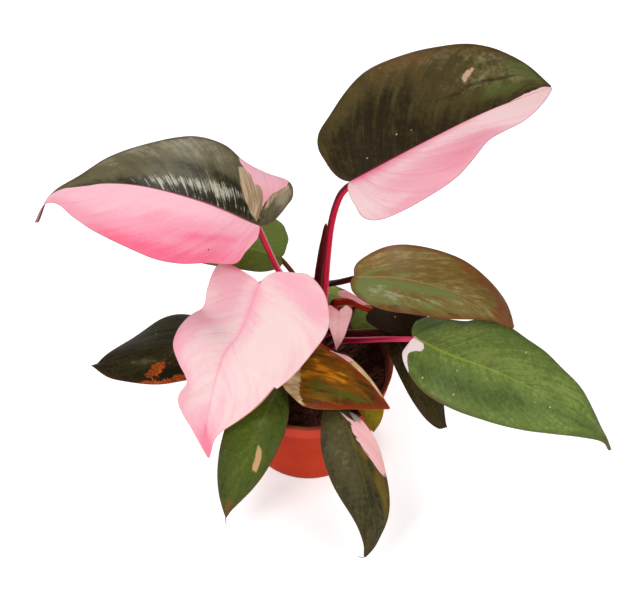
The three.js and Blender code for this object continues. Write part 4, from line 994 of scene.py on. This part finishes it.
def leaf_stalk(name, leaf):
    curve, out = stalk_curve(leaf)
    radius = leaf["stalk"]["radius"]

    def radius_at(share):
        return lerp(*radius, min(1, share * 1.6)) * (1 - 0.25 * smoothstep(share, 0.93, 1))

    def shape_at(share, ring, flat):
        spread = WING_SPREAD * (1 - smoothstep(share, WING_REACH * 0.4, WING_REACH))
        groove = (0.16 + 0.5 * spread) * np.clip(ring[:, :1], 0, 1) ** 3
        foot = 1 - smoothstep(share, 0, 0.03)
        flat = flat * (1 - groove) * (1 - 0.3 * foot)
        back = np.abs(ring[:, 1]) ** 2 * spread * radius_at(share) * 0.8
        return flat * np.array([[1.0, 1 + spread]]) + np.column_stack([back, np.zeros(len(ring))])

    facing = UP * 0.6 - out * 0.8
    steps = 36 if leaf["grid"] == "coarse" else 56
    points, faces, where = tube(curve, steps, STALK_SIDES, facing, radius_at, shape_at)
    centre = np.repeat(curve.at(np.linspace(0, 1, steps + 1)), STALK_SIDES, axis=0)
    outward = np.zeros_like(points)
    outward[:-2] = unit(points[:-2] - centre + 1e-9)
    skin = stalk_paint("stalk_" + name, STALK_COLOURS[name])
    piece("stalk_of_" + name, points, faces, skin, "leaf_stalk", ("stalk_" + name,),
          turn=where, facing=outward)


for name, leaf in LEAVES.items():
    leaf_stalk(name, leaf)


THREAD_RADIUS = (0.3, 0.14)  # at its foot and at its end
TIP_THREADS = {
    "front_left": [(0, 1.5, 0.6), (0, 0, 0), (0.1, -1.8, -1.8), (0.7, -3.2, -3.2)],
    "front_right": [(0, 1.5, 0.6), (0, 0, 0), (-0.8, 0.1, -0.8), (-2.5, 0.2, -1.1), (-4.6, 0.8, -0.5)],
}


def tip_thread(name, steps, material):
    """The dried thread that a drip tip ends in, through points measured from the tip."""
    tip, _ = Blade(LEAVES[name]).surface(np.array([1.0]), np.array([0.0]))
    curve = Curve(tip + np.array(steps))
    points, faces, where = tube(curve, steps=18, sides=8, facing=UP,
                                radius_at=lambda share: lerp(*THREAD_RADIUS, share))
    piece("tip_thread_of_" + name, points, faces, material, LOOKS[name]["slot"], turn=where, facing=where)


thread_skin = stalk_paint("tip_thread", (0x5A4A40, 0x3A2C24, 0x7A6A5A))
for name, steps in TIP_THREADS.items():
    tip_thread(name, steps, thread_skin)


def stem_paint():
    p = Paint("stem_bark")
    ring = p.lumps(0.12, 0.12, 0.9, detail=4)
    mottle = p.lumps(0.35, 0.35, 0.2, detail=4)
    skin = p.mix(p.smooth(mottle, -1, 1), rgb(0x5A1A20), rgb(0x7C2430))
    skin = p.over(skin, rgb(0x4A3420), ring, 0.3, 1.4, 0, 0.7)
    height = p.math("ADD", ring, p.times(mottle, 0.5))
    return p.finish(skin, p.add(mottle, 0.06, 0.5), height, 0.3)


bark = stem_paint()
for name, stem in STEMS.items():
    curve = Curve(stem["path"])

    def radius_at(share, stem=stem):
        ring = 0.22 * math.cos(stem["nodes"] * 4 * math.pi * share + 0.4) ** 12 if share > 0.4 else 0
        top = 1 - 0.5 * smoothstep(share, 0.97, 1)
        return (float(stem_radius(stem, np.array(share))) - 0.2 + ring) * top

    points, faces, where = tube(curve, steps=90, sides=28, facing=np.array([1.0, 0, 0]), radius_at=radius_at)
    piece("stem_of_" + name, points, faces, bark, "stem", ("stem_" + name,), turn=where)

SHEATH_LOOKS = dict(
    slot="sheath", rows=60, columns=10, veins=5, quilt=0, rib=0.3, specks=0.1, rib_show=0.2, specular=0.04,
    wax=0,
    colours=dict(deep=0x2E0A0C, mid=0x521416, light=0x76221F, bronze=0x5E2014, vein=0x2A0808, rib=0x2A0808,
        edge=0x6A3024, under=0x4A1414))
dress_blade("stem_sheath", "sheath", CATAPHYLL, SHEATH_LOOKS, 40, "sheath")


# ---- the pot and its soil ------------------------------------------------

POT_HEIGHT = 86
POT_RIM_RADIUS = 60
POT_BASE_RADIUS = 45
POT_WALL = 1.5
POT_FLOOR = 2
POT_LIP = 1.6
COLLAR_HEIGHT = 14
COLLAR_STEP = 2
BASE_CHAMFER = 1.5
COLLAR_FOOT = POT_HEIGHT - COLLAR_HEIGHT
COLLAR_RADIUS = POT_RIM_RADIUS - POT_LIP
COLLAR_INSIDE = COLLAR_RADIUS - POT_WALL
RIM_ROUND = 1.25  # the radius of the lip's rounding
SOIL_TOP = 74
SOIL_RELIEF = 1.6
SOIL_FALL = 2.5  # how far the soil's top falls towards the wall
FLOOR_GAP, WALL_GAP = 0.3, 0.4  # the soil's clearances in the pot


def wall_radius(z):
    """The pot's outer radius under its collar."""
    return lerp(POT_BASE_RADIUS, COLLAR_RADIUS - COLLAR_STEP, z / COLLAR_FOOT)


def pot_profile():
    """Radius and height, up the outside, over the lip and down the inside."""
    outer = wall_radius(COLLAR_FOOT)
    outside = [(POT_BASE_RADIUS - BASE_CHAMFER, 0), (POT_BASE_RADIUS - 0.35, 0.45),
               (POT_BASE_RADIUS, BASE_CHAMFER)]
    outside += [(wall_radius(z), z) for z in np.linspace(4, COLLAR_FOOT - 1.2, 22)]
    outside += [(outer, COLLAR_FOOT - 0.4), (outer + 0.25, COLLAR_FOOT - 0.05),
                (COLLAR_RADIUS - 0.9, COLLAR_FOOT + 0.25), (COLLAR_RADIUS - 0.5, COLLAR_FOOT + 0.55),
                (COLLAR_RADIUS - 0.4, COLLAR_FOOT + 1.1)]
    for z in np.linspace(COLLAR_FOOT + 2.5, POT_HEIGHT - 3.4, 6):
        share = (z - COLLAR_FOOT - 1) / (COLLAR_HEIGHT - 4)
        outside.append((lerp(COLLAR_RADIUS - 0.4, COLLAR_RADIUS, share), z))
    for angle in np.radians(np.linspace(-75, 90, 11)):
        outside.append((POT_RIM_RADIUS - RIM_ROUND + RIM_ROUND * math.cos(angle),
                        POT_HEIGHT - 1.35 + 1.3 * math.sin(angle)))
    inside = [(POT_RIM_RADIUS - 1.9, POT_HEIGHT - 0.04), (COLLAR_INSIDE + 0.7, POT_HEIGHT - 0.1),
              (COLLAR_INSIDE + 0.2, POT_HEIGHT - 0.45), (COLLAR_INSIDE, POT_HEIGHT - 1.2),
              (COLLAR_INSIDE - 0.2, POT_HEIGHT - 6), (COLLAR_INSIDE - 0.4, COLLAR_FOOT + 2.5),
              (outer - POT_WALL, COLLAR_FOOT)]
    inside += [(wall_radius(z) - POT_WALL, z) for z in np.linspace(COLLAR_FOOT - 8, POT_FLOOR + 3, 8)]
    foot = wall_radius(POT_FLOOR) - POT_WALL
    return outside + inside + [(foot - 0.6, POT_FLOOR + 0.5), (foot - 2, POT_FLOOR)]


def lathe(profile, segments):
    angle = np.arange(segments) / segments * 2 * np.pi
    rows = [np.column_stack([r * np.cos(angle), r * np.sin(angle), np.full(segments, z)]) for r, z in profile]
    return np.vstack(rows), [tuple(reversed(f)) for f in grid_faces(len(profile), segments, closed=True)]


def pot_paint():
    p = Paint("terracotta_plastic", specular_ior_level=0.03)
    _, _, height_up = p.axes(p.place)
    cloud = p.lumps(0.05, detail=5)
    flow = p.lumps(0.35, 0.35, 0.03, detail=4)
    grain = p.lumps(1.6, detail=2)
    scuff = p.lumps(0.9, 0.9, 0.12, detail=5, roughness=0.7)
    skin = p.mix(p.smooth(cloud, -1.2, 1.2), rgb(0xAF2709), rgb(0xB83613))
    skin = p.over(skin, rgb(0xB85040), flow, 0.2, 1.8, 0, 0.25)
    skin = p.over(skin, rgb(0xD84E3A), height_up, COLLAR_FOOT - 0.5, COLLAR_FOOT + 0.5, 0, 0.5)
    # Painted shade, with some soil stain: the top of the lip darker and browner.
    skin = p.over(skin, rgb(0x7A3C2C), height_up, POT_HEIGHT - 1.8, POT_HEIGHT - 0.8, 0, 0.75)
    skin = p.over(skin, rgb(0xD88A74), scuff, 1.0, 1.9, 0, 0.3)
    # Painted shade, with soil stain: the inside of the wall and of the rim darker and browner, less so near
    # the top.
    out = p.node("VectorMath", {0: p.stretched(p.place, 1, 1, 0)}, 1, operation="LENGTH")
    taper = wall_radius(1) - wall_radius(0)
    depth = p.math("ADD", p.add(height_up, -taper, out), POT_WALL / 2 - POT_BASE_RADIUS)
    inner = p.times(p.math("LESS_THAN", depth, 0), p.math("GREATER_THAN", height_up, POT_FLOOR / 2))
    near_rim = p.math("GREATER_THAN", height_up, COLLAR_FOOT + 0.2)
    near_rim = p.times(p.math("LESS_THAN", out, COLLAR_INSIDE + 0.7), near_rim)
    inner = p.math("MAXIMUM", inner, near_rim)
    soil_stain_and_shade = p.smooth(p.add(cloud, 2, height_up), 76, 90, 0.9, 0.6)
    skin = p.mix(p.times(inner, soil_stain_and_shade), skin, rgb(0x6E4434))
    foot = p.smooth(p.add(cloud, 2.5, height_up), 0, 7, 0.35, 0)
    skin = p.mix(foot, skin, rgb(0x8A4030))
    gloss = p.add(cloud, 0.05, p.add(scuff, 0.03, 0.5))
    height = p.add(grain, 0.5, p.times(flow, 0.7))
    return p.finish(skin, gloss, height, 0.08)


DRAIN_HOLES = 6
DRAIN_HOLE_RADIUS = 4
DRAIN_RING_RADIUS = 30
DRAIN_HOLE_SIDES = 24
SEGMENTS = 144


def circle(radius, sides, x=0.0, y=0.0):
    """Points round a circle, as x and y."""
    turn = np.arange(sides) / sides * 2 * np.pi
    return np.column_stack([x + radius * np.cos(turn), y + radius * np.sin(turn)])


def pot_mesh():
    """The pot's wall, and a floor of two faces with round holes through it."""
    points, faces = lathe(pot_profile(), SEGMENTS)
    points = points.tolist()
    loops = {0: [list(range(SEGMENTS))], POT_FLOOR: [list(range(len(points) - SEGMENTS, len(points)))]}
    centres = circle(DRAIN_RING_RADIUS, DRAIN_HOLES).tolist()
    sides = DRAIN_HOLE_SIDES
    for centre in centres:
        start = len(points)
        for z, made in loops.items():
            made.append(list(range(len(points), len(points) + sides)))
            points += [[x, y, z] for x, y in circle(DRAIN_HOLE_RADIUS, sides, *centre).tolist()]
        for j in range(sides):
            a, b = start + j, start + (j + 1) % sides
            faces.append((b, a, a + sides, b + sides))
    for z, made in loops.items():
        index = [k for loop in made for k in loop]
        flat = [Vector(points[k][:2]) for k in index]
        edges, at = [], 0
        for loop in made:
            edges += [(at + k, at + (k + 1) % len(loop)) for k in range(len(loop))]
            at += len(loop)
        for face in delaunay_2d_cdt(flat, edges, [], 0, 1e-6)[2]:
            middle = sum((flat[k] for k in face), Vector((0, 0))) / len(face)
            if any((middle - Vector(c)).length < DRAIN_HOLE_RADIUS * 0.98 for c in centres):
                continue
            ring = [index[k] for k in face]
            corners = np.array([points[k][:2] for k in ring])
            (ax, ay), (bx, by) = corners.T, np.roll(corners, -1, axis=0).T
            if (np.sum(ax * by - bx * ay) > 0) == (z == 0):
                ring.reverse()
            faces.append(tuple(ring))
    return points, faces


pot = piece("nursery_pot", *pot_mesh(), pot_paint(), "terracotta_plastic", ("pot",))
pot.data.set_sharp_from_angle(angle=math.radians(38))


def soil_height(x, y, reach):
    lumps = (np.sin(x * 0.21 + 1.3) * np.cos(y * 0.17 + 0.4) + 0.6 * np.sin(x * 0.43 + y * 0.31)
             + 0.5 * np.cos(y * 0.52 - x * 0.27 + 2))
    clods = (0.35 * np.sin(x * 1.1 + 2 * np.sin(y * 0.9)) * np.cos(y * 1.3 + x * 0.4)
             + 0.25 * np.sin(x * 2.3 - y * 1.7 + np.sin(x * 3.1)))
    return SOIL_TOP + SOIL_RELIEF * lumps - SOIL_FALL * reach**4 + clods


SOIL_REACH = wall_radius(SOIL_TOP - 6) - POT_WALL - 0.1  # the radius of the soil's top


def soil_paint(name, low, high, wet):
    p = Paint(name, specular_ior_level=0.35)
    clod = p.lumps(0.35, detail=6, roughness=0.65)
    grit = p.lumps(1.6, detail=5, roughness=0.7)
    skin = p.mix(p.smooth(p.math("ADD", clod, grit), -1.6, 1.8), rgb(low), rgb(high))
    skin = p.over(skin, rgb(0x6A4A34), grit, 1.0, 2.0, 0, 0.5)
    height = p.add(grit, 0.6, clod)
    return p.finish(skin, p.add(clod, 0.08, wet), height, 0.9)


def soil_mesh():
    segments, rings = 144, 56
    floor = POT_FLOOR + FLOOR_GAP
    foot = wall_radius(floor) - POT_WALL - WALL_GAP
    points, _ = lathe([(foot, floor), (SOIL_REACH, SOIL_TOP - 7)], segments)
    points = points.tolist()
    angle = np.arange(segments) / segments * 2 * np.pi
    for k in range(rings):
        r = SOIL_REACH * (1 - k / rings) + 0.001
        x, y = r * np.cos(angle), r * np.sin(angle)
        z = soil_height(x, y, np.full(segments, r / SOIL_REACH))
        points += np.column_stack([x, y, z]).tolist()
    faces = [tuple(reversed(f)) for f in grid_faces(rings + 2, segments, closed=True)]
    top, bottom = len(points), len(points) + 1
    points += [[0, 0, float(soil_height(0.0, 0.0, 0.0))], [0, 0, floor]]
    start = (rings + 1) * segments
    for k in range(segments):
        after = (k + 1) % segments
        faces.append((top, start + k, start + after))
        faces.append((bottom, after, k))
    return points, faces


soil_skin = soil_paint("potting_soil", 0x34180E, 0x7C4228, 0.85)
piece("potting_soil", *soil_mesh(), soil_skin, "potting_soil", ("soil",))

# Crumbs of peat, chips of bark and loose fibres that lie on the soil.
CRUMBS = 950
CHIPS = 90
FIBRES = 120
CRUMB_REACH, FIBRE_REACH = 0.985, 0.96  # how far out they may lie, as shares of the soil's radius
dice = random.Random(11)


def lump_shape():
    """The points and faces of a ball with 42 corners."""
    ball = bmesh.new()
    bmesh.ops.create_icosphere(ball, subdivisions=2, radius=1)
    shape = np.array([v.co[:] for v in ball.verts]), [tuple(v.index for v in f.verts) for f in ball.faces]
    ball.free()
    return shape


def turned(points, dice):
    """Points turned about the vertical and tipped a little."""
    turn, tip = dice.uniform(0, 2 * math.pi), dice.uniform(-0.5, 0.5)
    c, s = math.cos(turn), math.sin(turn)
    points = points @ np.array([[c, s, 0], [-s, c, 0], [0, 0, 1]])
    c, s = math.cos(tip), math.sin(tip)
    return points @ np.array([[1, 0, 0], [0, c, s], [0, -s, c]])


def on_soil(dice):
    """A point on the soil, clear of the stems."""
    while True:
        r, angle = SOIL_REACH * CRUMB_REACH * math.sqrt(dice.random()), dice.uniform(0, 2 * math.pi)
        x, y = r * math.cos(angle), r * math.sin(angle)
        if all(math.dist((x, y), s["path"][0][:2]) > s["radius"][0] + 1 for s in STEMS.values()):
            return x, y, float(soil_height(x, y, r / SOIL_REACH))


def scatter():
    ball, ball_faces = lump_shape()
    points, faces, total = [], [], 0
    for k in range(CRUMBS + CHIPS):
        size = dice.uniform(0.5, 1.5) * (1.5 if dice.random() < 0.12 else 1)
        scale = (size, size * dice.uniform(0.6, 1), size * dice.uniform(0.5, 0.9))
        if k >= CRUMBS:
            scale = (dice.uniform(2, 4.2), dice.uniform(1, 2), dice.uniform(0.35, 0.7))
        shake = np.array([1 + dice.uniform(-0.22, 0.22) for _ in ball])[:, None]
        x, y, z = on_soil(dice)
        points.append(turned(ball * shake * scale, dice) + (x, y, z + scale[2] * 0.35))
        faces += [tuple(total + i for i in face) for face in ball_faces]
        total += len(ball)
    return np.vstack(points), faces


def fibre_mesh():
    points, faces, total = [], [], 0
    for _ in range(FIBRES):
        x, y, z = on_soil(dice)
        heading, length = dice.uniform(0, 2 * math.pi), dice.uniform(5, 17)
        path = []
        for k in range(5):
            reach = length * k / 4
            px = x + reach * math.cos(heading) + dice.uniform(-0.8, 0.8)
            py = y + reach * math.sin(heading) + dice.uniform(-0.8, 0.8)
            far = math.hypot(px, py) / SOIL_REACH
            if far > FIBRE_REACH:
                px, py, far = px * FIBRE_REACH / far, py * FIBRE_REACH / far, FIBRE_REACH
            path.append((px, py, float(soil_height(px, py, far)) + dice.uniform(0.5, 2.0)))
        thin = dice.uniform(0.12, 0.28)
        made, made_faces, _ = tube(Curve(path), steps=12, sides=5, facing=UP,
                                   radius_at=lambda share, thin=thin: thin * (1 - 0.6 * share))
        points.append(made)
        faces += [tuple(total + i for i in face) for face in made_faces]
        total += len(made)
    return np.vstack(points), faces


piece("soil_crumbs", *scatter(), soil_paint("soil_crumb", 0x3A1C10, 0x96573A, 0.8), "potting_soil")
piece("soil_fibres", *fibre_mesh(), soil_paint("soil_fibre", 0x5A301C, 0xA8704A, 0.7), "potting_soil")


# ---- floor, light and camera ---------------------------------------------

def floor_paint():
    p = Paint("studio_floor", specular_ior_level=0.1, emission_color=(1, 1, 1, 1), emission_strength=0.5)
    haze = p.lumps(0.004, detail=2)
    skin = p.mix(p.smooth(haze, -2, 2), rgb(0xE8E8E8), rgb(0xECECEC))
    return p.finish(skin, p.add(haze, 0.01, 0.9), haze, 0.01)


floor_mesh = bpy.data.meshes.new("studio_floor")
FLOOR_REACH = 12.0  # metres
corners = [(FLOOR_REACH * x, FLOOR_REACH * y, 0) for x, y in ((-1, -1), (1, -1), (1, 1), (-1, 1))]
floor_mesh.from_pydata(corners, [], [(0, 1, 2, 3)])
floor_mesh.materials.append(floor_paint())
floor = bpy.data.objects.new("studio_floor", floor_mesh)
bpy.context.scene.collection.objects.link(floor)

world = bpy.data.worlds.new("studio")
world.use_nodes = True
sky = world.node_tree.nodes["Background"].inputs
sky["Color"].default_value = (1, 1, 1, 1)
sky["Strength"].default_value = 0.24
bpy.context.scene.world = world


def softbox(name, place, size, power, target=(0, 0, 0.12)):
    """A square lamp at a place, turned to a target."""
    data = bpy.data.lights.new(name, "AREA")
    data.shape = "SQUARE"
    data.size = size
    data.energy = power
    lamp = bpy.data.objects.new(name, data)
    lamp.location = place
    direction = np.array(target) - np.array(place)
    yaw = math.atan2(direction[1], direction[0])
    tilt = math.atan2(direction[2], math.hypot(direction[0], direction[1]))
    lamp.rotation_euler = (math.pi / 2 + tilt, 0, yaw - math.pi / 2)
    bpy.context.scene.collection.objects.link(lamp)


softbox("back", (-0.25, 1.4, 1.75), 0.9, 22)
softbox("front_left", (-1.2, -1.1, 2.0), 0.9, 22)
softbox("front_low", (-0.3, -2.2, 0.9), 1.2, 16, (0, 0, 0.05))
softbox("front_right", (1.4, -0.9, 1.5), 0.9, 9)

camera_data = bpy.data.cameras.new("camera")
camera_data.lens = 88.48
camera_data.sensor_width = 36
camera_data.sensor_fit = "HORIZONTAL"
camera = bpy.data.objects.new("camera", camera_data)
camera.location = (0.00839, -0.65658, 0.96929)
camera.rotation_euler = (math.radians(38.5), 0, 0)
bpy.context.scene.collection.objects.link(camera)
bpy.context.scene.camera = camera
bpy.context.scene.view_settings.view_transform = "Standard"
